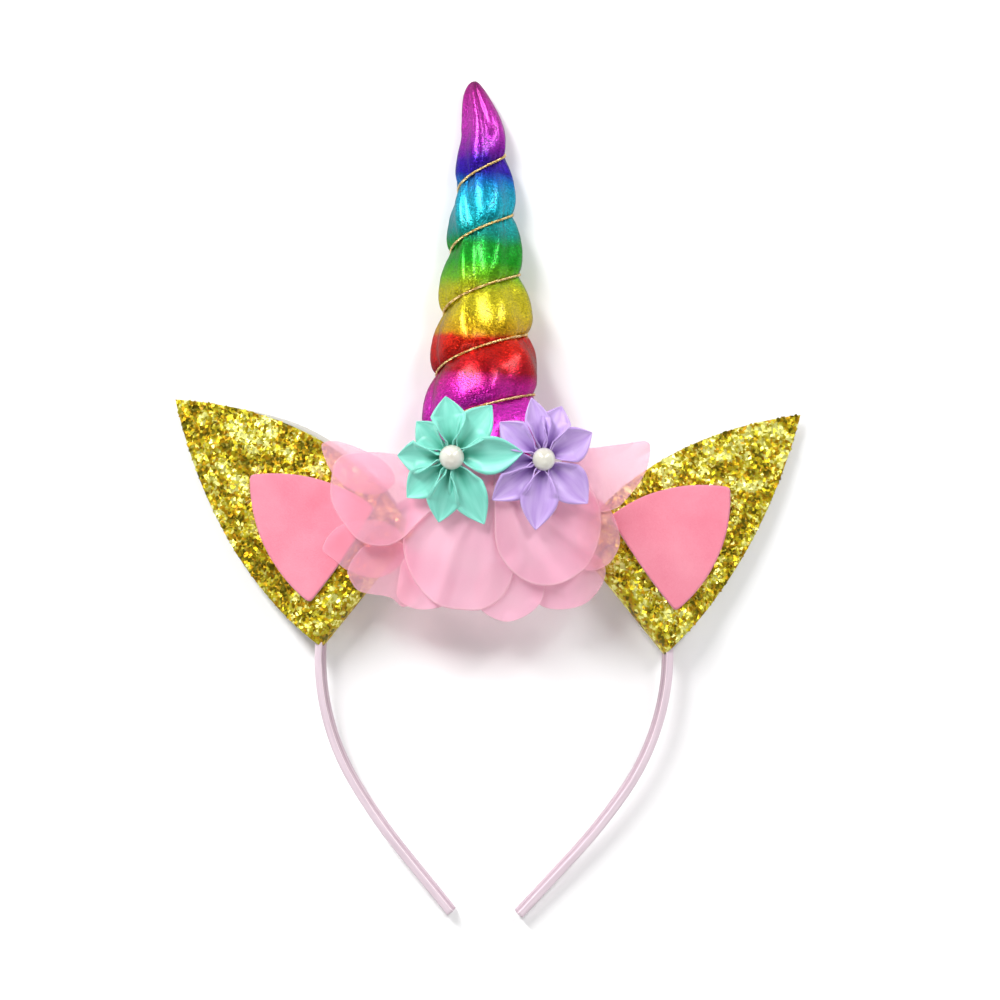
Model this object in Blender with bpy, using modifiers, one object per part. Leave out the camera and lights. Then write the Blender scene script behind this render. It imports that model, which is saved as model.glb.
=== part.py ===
# Unicorn horn headband, lying on its back with the flowers up.
# The pieces are modelled as worn: +X to the right, front towards -Y, +Z up, origin at the
# middle of the crown's half circle. A parent empty then lays the whole thing on the floor.

import math

import bmesh
import bpy
from mathutils import Matrix, Vector

# Driving dimensions, in metres and degrees
GAP = 0.0003                    # air between touching pieces

BAND_CROWN_RADIUS = 0.0591      # middle of the strip, over the head
BAND_ARM_RADIUS = 0.083         # bend of the arms below the crown
BAND_ARM_SWEEP = 33.0
BAND_CURL_RADIUS = 0.200        # slighter bend near the ends
BAND_CURL_SWEEP = 8.0
BAND_STRAIGHT = 0.0265          # straight stretch at each end
BAND_WIDTH_CROWN = 0.0080
BAND_WIDTH_END = 0.0064
BAND_THICKNESS = 0.0024
BAND_FLARE = 12.0               # the front edge stands out from the head by this angle
BAND_CORNER_CUT = 0.28          # of the thickness, off each edge of the strip

FELT_RADIUS = 0.0200
FELT_THICKNESS = 0.0020

HORN_LENGTH = 0.135
HORN_BASE_RADIUS = 0.0230
HORN_TOP_RADIUS = 0.0052
HORN_DEPTH_SHARE = 0.90         # stuffed horn is a little flat from front to back
HORN_SIDE_SHIFT = -0.0058       # off the middle of the crown, to the left
HORN_FORWARD_SHIFT = 0.0020
HORN_SIDE_LEAN = 2.0
HORN_TIP_HOOK = 0.0010          # the tip bends to the left
HORN_PITCH = 0.0213             # height of one turn of the spiral
HORN_FIRST_CROSSING = 0.0186    # lowest place where the groove crosses the front
HORN_TURN_SLOPE = 0.11          # each turn is higher on the right
HORN_LEVEL_TIP = 0.125          # share of the length over which this slope fades at the tip
HORN_GROOVE_DEPTH = 0.0038      # at the base, in proportion to the radius above
HORN_REST_FLAT = 0.0018         # how far the soft horn gives where it lies on the floor

CORD_RADIUS = 0.00055
CORD_CLEARANCE = 0.00070
CORD_START_TURN = -0.85
CORD_END_TURN = 4.42

EAR_LENGTH = 0.0880             # fold to tip
EAR_FOLD = 0.0500               # length of the fold under the band
EAR_WALL = 0.0011               # one layer of glitter fabric
EAR_OUTER_BOW = 0.0082
EAR_TOP_BOW = 0.0106
EAR_TIP_RISE = 0.0090           # tip above the middle of the fold, along the fold
EAR_FOLD_DEPTH = 0.0107         # fold inside the middle of the strip
EAR_ELEVATION = 27.2            # place on the crown, above the level of its middle
EAR_TURN = 11.5                 # turned up from the crown's radius
EAR_POUCH_REACH = 0.0200        # where the two layers meet, from the middle of the strip
EAR_CLEARANCE = 0.0004          # round the strip inside the pouch
EAR_POUCH_START = 0.0046        # the layers run side by side this far from the strip's middle
EAR_EDGE = 0.02                 # share of the width over which each edge is rounded
EAR_TIP_SIZE = 0.12             # of the last section, in place of a sharp point
EAR_SECTIONS = 15
EAR_SPACING = 1.45              # above 1 puts more sections near the fold
EAR_POINTS_ACROSS = 9

INNER_EAR_WALL = 0.0014
INNER_EAR_GLUE = 0.0007         # between the felt and the ear that it is glued on

CHIFFON_WALL = 0.0010
CHIFFON_STEP = 0.0019           # from one layer of petals to the next
CHIFFON_CLEARANCE = 0.0009      # behind the innermost layer
CHIFFON_LENGTH = 0.0450
CHIFFON_WIDTH = 0.0300
CHIFFON_DOME_X = 0.0500         # half size of the puff round the foot of the horn
CHIFFON_DOME_Z = 0.0560
CHIFFON_RUFFLE = 0.0010
CHIFFON_GATHER_Z = 0.0060       # middle of the puff, above the crown
CHIFFON_LEVEL = 0.22            # share of the half size over which the puff stays level
CHIFFON_FALL = 0.95             # and the share over which it falls to the ears
CHIFFON_RUFFLES = 5
CHIFFON_ROUNDNESS = 2.3         # of a petal's outline, where 2 is an ellipse

FLOWER_RADIUS = 0.0210          # middle of the flower to a petal's tip
FLOWER_PETAL_WIDTH = 0.0104
FLOWER_PETAL_WALL = 0.0009
FLOWER_PETAL_RISE = 0.0026      # folded edges above the middle of the petal
FLOWER_SPREAD = 0.0300          # from one flower's middle to the other's
FLOWER_SIDE_SHIFT = -0.0012     # both a little to the left
FLOWER_HEIGHT = 0.0080          # above the middle of the crown
FLOWER_STAND = 0.0005           # air between the petals and the front chiffon layer
PEARL_DIAMETER = 0.0080
PETAL_ROOT = 0.0029             # from the flower's middle, under the pearl
PETAL_LEAST_WIDTH = 0.0001      # half of it, where the neighbours leave no room
PETAL_CUP = 1.6                 # above 1 keeps a petal's middle flatter than its edges

# Ears: side of the head, length as a share of EAR_LENGTH, bow as a share of both bows,
# place on the crown in degrees above EAR_ELEVATION, turn in degrees above EAR_TURN, and how
# much deeper than EAR_FOLD_DEPTH the fold lies inside the crown
EARS = (
    dict(name="left", side=-1, length=1.03, bow=1.14, higher=-1.7, turned=-0.1, deeper=0.0),
    dict(name="right", side=1, length=0.988, bow=0.88, higher=-0.1, turned=3.1, deeper=0.0016),
)

# Corners of the felt inside an ear: out from the fold as a share of EAR_LENGTH,
# along the fold as a share of EAR_FOLD, and bow of the side from this corner to the next
INNER_EAR_CORNERS = (
    dict(out=0.137, along=-0.315, bow=0.0058),
    dict(out=0.605, along=0.101, bow=0.0044),
    dict(out=0.172, along=0.465, bow=0.0010),
)

# Chiffon petals, counted in layers from the front. Root and length are shares of
# CHIFFON_LENGTH, width is a share of CHIFFON_WIDTH, heading is in degrees from +X, and
# fullness moves the widest place towards the free end.
CHIFFON_PETALS = (
    dict(name="left_round", layer=0, root_x=-0.36, root_z=-0.05,
         heading=191, length=0.92, width=1.04, fullness=1.4),
    dict(name="centre_right", layer=0, root_x=0.30, root_z=0.38,
         heading=273, length=1.14, width=1.16, fullness=1.5),
    dict(name="centre_left", layer=1, root_x=-0.28, root_z=0.38,
         heading=268, length=1.35, width=1.16, fullness=1.5),
    dict(name="right_top", layer=1, root_x=0.33, root_z=0.03,
         heading=8, length=0.81, width=0.86, fullness=2.0),
    dict(name="lower_left_behind", layer=2, root_x=-0.24, root_z=-0.11,
         heading=248, length=0.90, width=0.84, fullness=1.6),
    dict(name="bottom_middle", layer=2, root_x=0.09, root_z=-0.20,
         heading=270, length=0.84, width=0.66, fullness=1.7),
    dict(name="right_middle", layer=2, root_x=0.33, root_z=-0.07,
         heading=328, length=0.65, width=0.74, fullness=1.6),
    dict(name="lower_left", layer=3, root_x=-0.30, root_z=-0.16,
         heading=222, length=1.04, width=0.86, fullness=1.6),
    dict(name="upper_left", layer=1, root_x=-0.70, root_z=0.06,
         heading=171, length=0.60, width=0.52, fullness=1.4),
    dict(name="lower_right", layer=3, root_x=0.18, root_z=-0.16,
         heading=303, length=0.86, width=0.86, fullness=1.6),
    dict(name="far_left", layer=4, root_x=-0.44, root_z=-0.14,
         heading=206, length=0.98, width=0.76, fullness=1.5),
)

# Petals of the two flowers: heading in degrees from +X, length as a share of FLOWER_RADIUS,
# lift of the tip as a share of FLOWER_PETAL_RISE
MINT_PETALS = (
    dict(heading=6, length=1.15, lift=1.6),
    dict(heading=54, length=1.04, lift=0.2),
    dict(heading=98, length=0.97, lift=0.1),
    dict(heading=138, length=0.80, lift=-0.2),
    dict(heading=181, length=0.88, lift=0.0),
    dict(heading=224, length=0.99, lift=0.0),
    dict(heading=260, length=1.08, lift=0.1),
    dict(heading=297, length=1.20, lift=0.6),
)
LILAC_PETALS = (
    dict(heading=30, length=0.90, lift=0.1),
    dict(heading=72, length=0.90, lift=0.0),
    dict(heading=103, length=1.00, lift=0.2),
    dict(heading=141, length=0.90, lift=-0.6),
    dict(heading=188, length=0.86, lift=-0.9),
    dict(heading=221, length=1.04, lift=-0.6),
    dict(heading=266, length=1.14, lift=0.1),
    dict(heading=318, length=1.02, lift=0.0),
)
FLOWERS = (
    dict(name="mint", side=-1, petals=MINT_PETALS, pearl=1.05, colour="mint satin"),
    dict(name="lilac", side=1, petals=LILAC_PETALS, pearl=0.97, colour="lilac satin"),
)

# A folded petal from root to tip: place along it, half width as a share of the petal's,
# height of its edges as a share of FLOWER_PETAL_RISE
PETAL_SECTIONS = (
    dict(along=0.00, width=0.16, rise=0.00),
    dict(along=0.20, width=0.55, rise=0.65),
    dict(along=0.40, width=0.88, rise=1.00),
    dict(along=0.58, width=1.00, rise=0.85),
    dict(along=0.75, width=0.82, rise=0.50),
    dict(along=0.90, width=0.42, rise=0.20),
    dict(along=1.00, width=0.06, rise=0.00),
)

# Rounded tip of the strip, outwards: place beyond its straight stretch and thickness as
# shares of BAND_THICKNESS, width as a share of BAND_WIDTH_END
BAND_TIP = (
    dict(beyond=0.35, width=0.940, thickness=0.88),
    dict(beyond=0.50, width=0.775, thickness=0.55),
)

# Heights between two turns of the groove where the horn has a row of points
LOBE_ROWS = (0.0, 0.10, 0.27, 0.48, 0.70, 0.89)
HORN_COLUMNS = 18
LOBE_SAG = 0.85                 # below 1 moves the fullest place of a lobe down
LOBE_ROUNDNESS = 2.4
HORN_TIP_ROUNDNESS = 36
HORN_HOOK_START = 0.94          # share of the length
CORD_FADE = 0.35                # turns over which the groove runs out above the cord

# Colour, roughness and metallic value of each material
MATERIALS = {
    "pink satin": ((0.83, 0.69, 0.75), 0.40, 0.0),
    "white felt": ((0.86, 0.84, 0.84), 0.95, 0.0),
    "rainbow foil fabric": ((0.60, 0.08, 0.42), 0.25, 0.9),
    "gold thread": ((0.75, 0.52, 0.10), 0.35, 0.9),
    "gold glitter fabric": ((0.68, 0.51, 0.03), 0.40, 0.7),
    "pink felt": ((1.00, 0.34, 0.48), 0.95, 0.0),
    "pink chiffon": ((1.00, 0.48, 0.68), 0.80, 0.0),
    "mint satin": ((0.22, 0.76, 0.58), 0.40, 0.0),
    "lilac satin": ((0.46, 0.30, 0.72), 0.40, 0.0),
    "pearl": ((0.88, 0.86, 0.78), 0.20, 0.0),
}

CROWN_STEPS = 14                # stations of the strip on half of the crown
ARM_STEPS = 5
CURL_STEPS = 2
STRAIGHT_STEPS = 3

FRONT = Vector((0.0, -1.0, 0.0))
FLARE = math.radians(BAND_FLARE)


def clear_scene():
    for thing in list(bpy.data.objects):
        bpy.data.objects.remove(thing)


def make_collection(name):
    collection = bpy.data.collections.new(name)
    bpy.context.scene.collection.children.link(collection)
    return collection


def make_material(name):
    colour, roughness, metallic = MATERIALS[name]
    material = bpy.data.materials.get(name) or bpy.data.materials.new(name)
    material.use_nodes = True
    shader = material.node_tree.nodes["Principled BSDF"]
    shader.inputs["Base Color"].default_value = (*colour, 1.0)
    shader.inputs["Roughness"].default_value = roughness
    shader.inputs["Metallic"].default_value = metallic
    return material


def finish_mesh(bm, name, material):
    bmesh.ops.remove_doubles(bm, verts=bm.verts, dist=1e-6)
    bmesh.ops.dissolve_degenerate(bm, edges=bm.edges, dist=1e-6)
    bmesh.ops.recalc_face_normals(bm, faces=bm.faces)
    mesh = bpy.data.meshes.new(name)
    bm.to_mesh(mesh)
    bm.free()
    mesh.shade_smooth()
    mesh.set_sharp_from_angle(angle=math.radians(40))
    mesh.materials.append(make_material(material))
    return bpy.data.objects.new(name, mesh)


def loft(name, rings, material):
    # A closed body through rings of equally many points, with flat ends
    bm = bmesh.new()
    rows = [[bm.verts.new(point) for point in ring] for ring in rings]
    count = len(rows[0])
    for lower, upper in zip(rows, rows[1:]):
        for i in range(count):
            j = (i + 1) % count
            bm.faces.new((lower[i], lower[j], upper[j], upper[i]))
    bm.faces.new(rows[0])
    bm.faces.new(reversed(rows[-1]))
    return finish_mesh(bm, name, material)


def sheet(name, along, across, place, wall, material):
    # A cloth wall over a grid, where place(u, v) gives the point for u and v from 0 to 1
    bm = bmesh.new()
    bmesh.ops.create_grid(bm, x_segments=along, y_segments=across, size=0.5)
    for vert in bm.verts:
        vert.co = place(vert.co.x + 0.5, vert.co.y + 0.5)
    piece = finish_mesh(bm, name, material)
    thicken = piece.modifiers.new("wall", "SOLIDIFY")
    thicken.thickness = wall
    thicken.offset = 0.0
    return piece


def smooth_step(value):
    value = min(max(value, 0.0), 1.0)
    return value * value * (3.0 - 2.0 * value)


def half_band_path():
    # Stations from the top of the crown to one end: x, z, angle of the outward normal from +Z,
    # distance along the strip
    stretches = (
        [(BAND_CROWN_RADIUS, math.radians(90) / CROWN_STEPS)] * CROWN_STEPS
        + [(BAND_ARM_RADIUS, math.radians(BAND_ARM_SWEEP) / ARM_STEPS)] * ARM_STEPS
        + [(BAND_CURL_RADIUS, math.radians(BAND_CURL_SWEEP) / CURL_STEPS)] * CURL_STEPS
    )
    x, z, angle, walked = 0.0, BAND_CROWN_RADIUS, 0.0, 0.0
    stations = [(x, z, angle, walked)]
    for radius, turn in stretches:
        chord = 2.0 * radius * math.sin(turn / 2.0)
        x += chord * math.cos(angle + turn / 2.0)
        z -= chord * math.sin(angle + turn / 2.0)
        angle += turn
        walked += chord
        stations.append((x, z, angle, walked))
    for _ in range(STRAIGHT_STEPS):
        step = BAND_STRAIGHT / STRAIGHT_STEPS
        x += step * math.cos(angle)
        z -= step * math.sin(angle)
        walked += step
        stations.append((x, z, angle, walked))
    return stations


def strip_ring(x, z, angle, width, thickness):
    # The strip's section: a rectangle with its corners cut, the front edge flared outwards
    outward = Vector((math.sin(angle), 0.0, math.cos(angle)))
    wide = FRONT * math.cos(FLARE) + outward * math.sin(FLARE)
    thick = outward * math.cos(FLARE) - FRONT * math.sin(FLARE)
    cut = BAND_CORNER_CUT * thickness
    half_w, half_t = width / 2.0, thickness / 2.0
    corners = (
        (half_w, half_t - cut), (half_w - cut, half_t),
        (cut - half_w, half_t), (-half_w, half_t - cut),
        (-half_w, cut - half_t), (cut - half_w, -half_t),
        (half_w - cut, -half_t), (half_w, cut - half_t),
    )
    centre = Vector((x, 0.0, z))
    return [centre + wide * w + thick * t for w, t in corners]


def band_rings(extra=0.0):
    half = half_band_path()
    length = half[-1][3]
    path = [(-x, z, -angle, walked) for x, z, angle, walked in reversed(half)] + half[1:]
    rings = []
    for x, z, angle, walked in path:
        width = BAND_WIDTH_CROWN + (BAND_WIDTH_END - BAND_WIDTH_CROWN) * walked / length
        rings.append(strip_ring(x, z, angle, width + 2 * extra, BAND_THICKNESS + 2 * extra))
    return rings


def band_tip(side):
    x, z, angle, _ = half_band_path()[-1]
    rings = []
    for step in BAND_TIP:
        beyond = step["beyond"] * BAND_THICKNESS
        rings.append(strip_ring(
            side * (x + beyond * math.cos(angle)), z - beyond * math.sin(angle), side * angle,
            BAND_WIDTH_END * step["width"], BAND_THICKNESS * step["thickness"],
        ))
    return rings


def make_band():
    return loft("band", band_tip(-1)[::-1] + band_rings() + band_tip(1), "pink satin")


# The crown's top surface faces up and back by the flare; felt and horn stand square on it
CROWN_FRAME = (
    Matrix.Translation((0.0, 0.0, BAND_CROWN_RADIUS))
    @ Matrix.Rotation(-FLARE, 4, "X")
    @ Matrix.Translation((HORN_SIDE_SHIFT, -HORN_FORWARD_SHIFT, BAND_THICKNESS / 2.0))
)
FELT_BOTTOM = GAP
HORN_BOTTOM = FELT_BOTTOM + FELT_THICKNESS + GAP


def make_felt_base():
    bm = bmesh.new()
    bmesh.ops.create_cone(
        bm, cap_ends=True, segments=28, radius1=FELT_RADIUS, radius2=FELT_RADIUS, depth=FELT_THICKNESS,
    )
    bmesh.ops.scale(bm, vec=(1.0, HORN_DEPTH_SHARE, 1.0), verts=bm.verts)
    bmesh.ops.translate(bm, vec=(0.0, 0.0, FELT_BOTTOM + FELT_THICKNESS / 2.0), verts=bm.verts)
    bm.transform(CROWN_FRAME)
    return finish_mesh(bm, "felt_base", "white felt")


def horn_outline(height):
    share = min(max(height / HORN_LENGTH, -0.2), 1.0)
    cone = HORN_TOP_RADIUS + (HORN_BASE_RADIUS - HORN_TOP_RADIUS) * (1.0 - share)
    return cone * math.sqrt(1.0 - max(share, 0.0) ** HORN_TIP_ROUNDNESS)


def horn_point(turn, column, outwards=0.0):
    # A point of the horn, with the turn counted in pitches from the lowest front crossing
    place = turn + column / HORN_COLUMNS
    height = min(HORN_FIRST_CROSSING + HORN_PITCH * place, HORN_LENGTH)
    radius = horn_outline(height)
    between = (turn % 1.0) ** LOBE_SAG
    fullness = 1.0 - abs(2.0 * between - 1.0) ** LOBE_ROUNDNESS
    fade = smooth_step((CORD_END_TURN - place) / CORD_FADE + 1.0)
    groove = HORN_GROOVE_DEPTH * (0.25 + 0.75 * radius / HORN_BASE_RADIUS)
    radius = max(radius - groove * (1.0 - fullness) * fade, 0.0) + outwards
    angle = 2.0 * math.pi * column / HORN_COLUMNS - math.pi / 2.0
    x = radius * math.cos(angle)
    share = height / HORN_LENGTH
    hook = HORN_TIP_HOOK * smooth_step((share - HORN_HOOK_START) / (1.0 - HORN_HOOK_START))
    slope = HORN_TURN_SLOPE * x * min(1.0, (1.0 - share) / HORN_LEVEL_TIP)
    return Vector((x - hook, radius * HORN_DEPTH_SHARE * math.sin(angle), height + slope))


def horn_frame():
    return CROWN_FRAME @ Matrix.Translation((0.0, 0.0, HORN_BOTTOM)) @ Matrix.Rotation(
        -math.radians(HORN_SIDE_LEAN), 4, "Y")


def make_horn():
    # The rows climb with the groove, so a row's last column meets the next turn's first.
    # The staircase that this leaves below is cut off flat on the felt.
    rows_per_turn = len(LOBE_ROWS)
    first_turn = -math.ceil(HORN_FIRST_CROSSING / HORN_PITCH) - 2
    last_turn = math.ceil((HORN_LENGTH - HORN_FIRST_CROSSING) / HORN_PITCH) + 1
    turns = [whole + row for whole in range(first_turn, last_turn) for row in LOBE_ROWS]
    bm = bmesh.new()
    grid = [[bm.verts.new(horn_point(turn, c)) for c in range(HORN_COLUMNS)] for turn in turns]
    for i in range(len(turns) - rows_per_turn - 1):
        for c in range(HORN_COLUMNS):
            step, column = (0, c + 1) if c + 1 < HORN_COLUMNS else (rows_per_turn, 0)
            bm.faces.new((
                grid[i][c], grid[i + step][column], grid[i + 1 + step][column], grid[i + 1][c],
            ))
    bmesh.ops.delete(bm, geom=[v for v in bm.verts if not v.link_faces], context="VERTS")
    bmesh.ops.remove_doubles(bm, verts=bm.verts, dist=1e-6)
    bmesh.ops.dissolve_degenerate(bm, edges=bm.edges, dist=1e-6)
    bm.transform(horn_frame())
    floor = CROWN_FRAME @ Vector((0.0, 0.0, HORN_BOTTOM))
    bmesh.ops.bisect_plane(
        bm, geom=bm.verts[:] + bm.edges[:] + bm.faces[:], dist=1e-7,
        plane_co=floor, plane_no=CROWN_FRAME.to_3x3() @ Vector((0.0, 0.0, 1.0)), clear_inner=True,
    )
    bmesh.ops.holes_fill(bm, edges=[e for e in bm.edges if e.is_boundary], sides=0)
    return finish_mesh(bm, "horn", "rainbow foil fabric")


def make_horn_cord():
    frame = horn_frame()
    first = round(CORD_START_TURN * HORN_COLUMNS)
    last = round(CORD_END_TURN * HORN_COLUMNS)
    curve = bpy.data.curves.new("horn_cord", "CURVE")
    curve.dimensions = "3D"
    curve.bevel_depth = CORD_RADIUS
    curve.bevel_resolution = 1
    curve.use_fill_caps = True
    spline = curve.splines.new("POLY")
    spline.points.add(last - first)
    for point, step in zip(spline.points, range(first, last + 1)):
        turn, column = divmod(step, HORN_COLUMNS)
        seat = frame @ horn_point(turn, column, outwards=CORD_RADIUS + CORD_CLEARANCE)
        point.co = (*seat, 1.0)
    curve.materials.append(make_material("gold thread"))
    return bpy.data.objects.new("horn_cord", curve)


def lean_back(x, z):
    # Outside the crown everything leans back with the flare
    return max(0.0, math.hypot(x, z) - BAND_CROWN_RADIUS) * math.tan(FLARE)


def ear_frame(ear):
    # Middle of the fold and the directions out from it and up along it, in x and z
    side = ear["side"]
    elevation = math.radians(EAR_ELEVATION + ear["higher"])
    turned = elevation + math.radians(EAR_TURN + ear["turned"])
    inside = BAND_CROWN_RADIUS - EAR_FOLD_DEPTH - ear["deeper"]
    middle = Vector((side * inside * math.cos(elevation), inside * math.sin(elevation)))
    out = Vector((side * math.cos(turned), math.sin(turned)))
    along = Vector((-side * math.sin(turned), math.cos(turned)))
    return middle, out, along


def ear_half_thickness(x, z):
    # Two layers that lie on each other, and part to go round the strip
    pouch = BAND_WIDTH_CROWN / 2.0 * math.cos(FLARE) + EAR_CLEARANCE + EAR_WALL
    away = abs(math.hypot(x, z) - BAND_CROWN_RADIUS)
    closing = smooth_step((away - EAR_POUCH_START) / (EAR_POUCH_REACH - EAR_POUCH_START))
    return pouch + (EAR_WALL - pouch) * closing


def make_ear(ear, tunnel):
    middle, out, along = ear_frame(ear)
    length = EAR_LENGTH * ear["length"]
    rings = []
    for i in range(EAR_SECTIONS - 1):
        t = (i / (EAR_SECTIONS - 1)) ** EAR_SPACING
        bow = ear["bow"] * 4.0 * t * (1.0 - t)
        near = -EAR_FOLD / 2.0 * (1.0 - t) + EAR_TIP_RISE * t - bow * EAR_OUTER_BOW
        far = EAR_FOLD / 2.0 * (1.0 - t) + EAR_TIP_RISE * t + bow * EAR_TOP_BOW
        front, back = [], []
        for j in range(EAR_POINTS_ACROSS):
            share = EAR_EDGE + (1.0 - 2.0 * EAR_EDGE) * j / (EAR_POINTS_ACROSS - 1)
            spot = middle + out * length * t + along * (near + (far - near) * share)
            lean = lean_back(*spot)
            half = ear_half_thickness(*spot)
            front.append(Vector((spot.x, lean - half, spot.y)))
            back.append(Vector((spot.x, lean + half, spot.y)))
        rings.append(front + back[::-1])
    end = middle + out * length + along * EAR_TIP_RISE
    tip = Vector((end.x, lean_back(*end), end.y))
    rings.append([tip.lerp(point, EAR_TIP_SIZE) for point in rings[-1]])
    piece = loft("ear_" + ear["name"], rings, "gold glitter fabric")
    cut = piece.modifiers.new("tunnel for the strip", "BOOLEAN")
    cut.operation = "DIFFERENCE"
    cut.solver = "EXACT"
    cut.object = tunnel
    return piece


def make_inner_ear(ear):
    middle, out, along = ear_frame(ear)
    length = EAR_LENGTH * ear["length"]
    corners = [
        middle + out * length * c["out"] + along * EAR_FOLD * c["along"] for c in INNER_EAR_CORNERS
    ]
    centre = (corners[0] + corners[1] + corners[2]) / 3.0

    def place(u, v):
        # u runs round the three bowed sides, v from the centre out to them
        side, share = divmod(min(3.0 * u, 2.9999999), 1.0)
        start, end = corners[int(side)], corners[(int(side) + 1) % 3]
        across = Vector((end.y - start.y, start.x - end.x)).normalized()
        if across.dot(start - centre) < 0.0:
            across.negate()
        bow = INNER_EAR_CORNERS[int(side)]["bow"]
        rim = start.lerp(end, share) + across * bow * 4.0 * share * (1.0 - share)
        spot = centre.lerp(rim, v)
        off = ear_half_thickness(*spot) + INNER_EAR_GLUE + INNER_EAR_WALL / 2.0
        return Vector((spot.x, lean_back(*spot) - off, spot.y))

    return sheet("ear_inner_" + ear["name"], 18, 3, place, INNER_EAR_WALL, "pink felt")


def petal_front():
    # Depth of the innermost chiffon layer in front of the horn, and over the ears
    horn_front = HORN_FORWARD_SHIFT + HORN_BASE_RADIUS * HORN_DEPTH_SHARE
    ear_front = ear_half_thickness(0.0, BAND_CROWN_RADIUS) + INNER_EAR_GLUE + INNER_EAR_WALL
    skin = CHIFFON_WALL / 2.0 + CHIFFON_CLEARANCE
    return horn_front + skin, ear_front + skin


def drape(x, z, layer):
    # All the layers follow one puffed surface, each a step in front of the next
    middle_x = HORN_SIDE_SHIFT / 3.0
    middle_z = BAND_CROWN_RADIUS + CHIFFON_GATHER_Z
    across, up = (x - middle_x) / CHIFFON_DOME_X, (z - middle_z) / CHIFFON_DOME_Z
    away = math.hypot(across, up)
    inner, outer = petal_front()
    puff = 1.0 - smooth_step((away - CHIFFON_LEVEL) / CHIFFON_FALL)
    ruffle = math.sin(CHIFFON_RUFFLES * math.atan2(up, across)) * smooth_step(away)
    front_layer = max(petal["layer"] for petal in CHIFFON_PETALS)
    depth = outer + (inner - outer) * puff + CHIFFON_STEP * (front_layer - layer)
    return lean_back(x, z) * (1.0 - puff) - depth - CHIFFON_RUFFLE * ruffle


def make_chiffon_petal(petal):
    heading = math.radians(petal["heading"])
    forward = Vector((math.cos(heading), math.sin(heading)))
    sideways = Vector((-forward.y, forward.x))
    root = Vector((
        petal["root_x"] * CHIFFON_LENGTH,
        BAND_CROWN_RADIUS + petal["root_z"] * CHIFFON_LENGTH,
    ))
    length = petal["length"] * CHIFFON_LENGTH
    half_width = petal["width"] * CHIFFON_WIDTH / 2.0

    def place(u, v):
        t = (1.0 - math.cos(math.pi * u)) / 2.0
        bulge = abs(2.0 * t ** petal["fullness"] - 1.0)
        narrow = max(1.0 - bulge ** CHIFFON_ROUNDNESS, 0.0)
        width = half_width * narrow ** (1.0 / CHIFFON_ROUNDNESS)
        spot = root + forward * length * t + sideways * width * (2.0 * v - 1.0)
        return Vector((spot.x, drape(spot.x, spot.y, petal["layer"]), spot.y))

    return sheet("chiffon_" + petal["name"], 9, 6, place, CHIFFON_WALL, "pink chiffon")


def flower_frame(flower):
    # The flower lies flat on the front chiffon layer, square to it
    x = FLOWER_SIDE_SHIFT + flower["side"] * FLOWER_SPREAD / 2.0
    z = BAND_CROWN_RADIUS + FLOWER_HEIGHT
    reach = FLOWER_RADIUS / 4.0
    slope_x = (drape(x + reach, z, 0) - drape(x - reach, z, 0)) / (2.0 * reach)
    slope_z = (drape(x, z + reach, 0) - drape(x, z - reach, 0)) / (2.0 * reach)
    normal = Vector((slope_x, -1.0, slope_z)).normalized()
    right = Vector((1.0, slope_x, 0.0)).normalized()
    up = right.cross(-normal).normalized()
    if up.z < 0.0:
        up = -up
    stand = CHIFFON_WALL / 2.0 + FLOWER_PETAL_WALL / 2.0 + FLOWER_STAND
    centre = Vector((x, drape(x, z, 0), z)) + normal * stand
    return centre, right, up, normal


def make_flower_petal(flower, index):
    centre, right, up, normal = flower_frame(flower)
    petals = flower["petals"]
    petal = petals[index]
    heading = math.radians(petal["heading"])
    radial = right * math.cos(heading) + up * math.sin(heading)
    tangent = up * math.cos(heading) - right * math.sin(heading)
    half_angles = []
    for neighbour in (petals[index - 1], petals[(index + 1) % len(petals)]):
        between = abs(petal["heading"] - neighbour["heading"])
        half_angles.append(math.radians(min(between, 360.0 - between)) / 2.0)
    reach = FLOWER_RADIUS * petal["length"] - PETAL_ROOT
    keep_off = (GAP + FLOWER_PETAL_WALL) / 2.0
    rows = len(PETAL_SECTIONS) - 1

    def place(u, v):
        section = PETAL_SECTIONS[round(u * rows)]
        out = PETAL_ROOT + reach * section["along"]
        s = 2.0 * v - 1.0
        room = out * math.tan(half_angles[1 if s > 0 else 0]) - keep_off
        width = min(section["width"] * FLOWER_PETAL_WIDTH / 2.0, max(room, PETAL_LEAST_WIDTH))
        lift = petal["lift"] * section["along"] ** 2
        rise = FLOWER_PETAL_RISE * (section["rise"] * abs(s) ** PETAL_CUP + lift)
        return centre + radial * out + tangent * width * s + normal * rise

    name = "%s_petal_%d" % (flower["name"], index + 1)
    return sheet(name, rows, 4, place, FLOWER_PETAL_WALL, flower["colour"])


def make_pearl(flower):
    centre, _, _, normal = flower_frame(flower)
    radius = PEARL_DIAMETER / 2.0 * flower["pearl"]
    petal_top = FLOWER_PETAL_RISE * PETAL_SECTIONS[0]["rise"] + FLOWER_PETAL_WALL / 2.0
    seat = math.sqrt(radius ** 2 - PETAL_ROOT ** 2) + petal_top + GAP
    bm = bmesh.new()
    bmesh.ops.create_uvsphere(bm, u_segments=14, v_segments=9, radius=radius)
    facing = normal.to_track_quat("Z", "Y").to_matrix().to_4x4()
    bm.transform(Matrix.Translation(centre + normal * seat) @ facing)
    return finish_mesh(bm, flower["name"] + "_pearl", "pearl")


def resting_heel():
    # The back edge of the strip's ends, where the band touches the floor
    ring = strip_ring(*half_band_path()[-1][:3], BAND_WIDTH_END, BAND_THICKNESS)
    return max(ring, key=lambda point: point.y)


def lay_angle(resting, heel):
    # The floor passes under the strip's ends and the lowest of the resting points
    angles = []
    for point, give in resting:
        back, up = point.y - heel.y, point.z - heel.z
        angles.append(math.atan2(back, up) - math.asin(give / math.hypot(back, up)))
    return max(angles)


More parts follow.
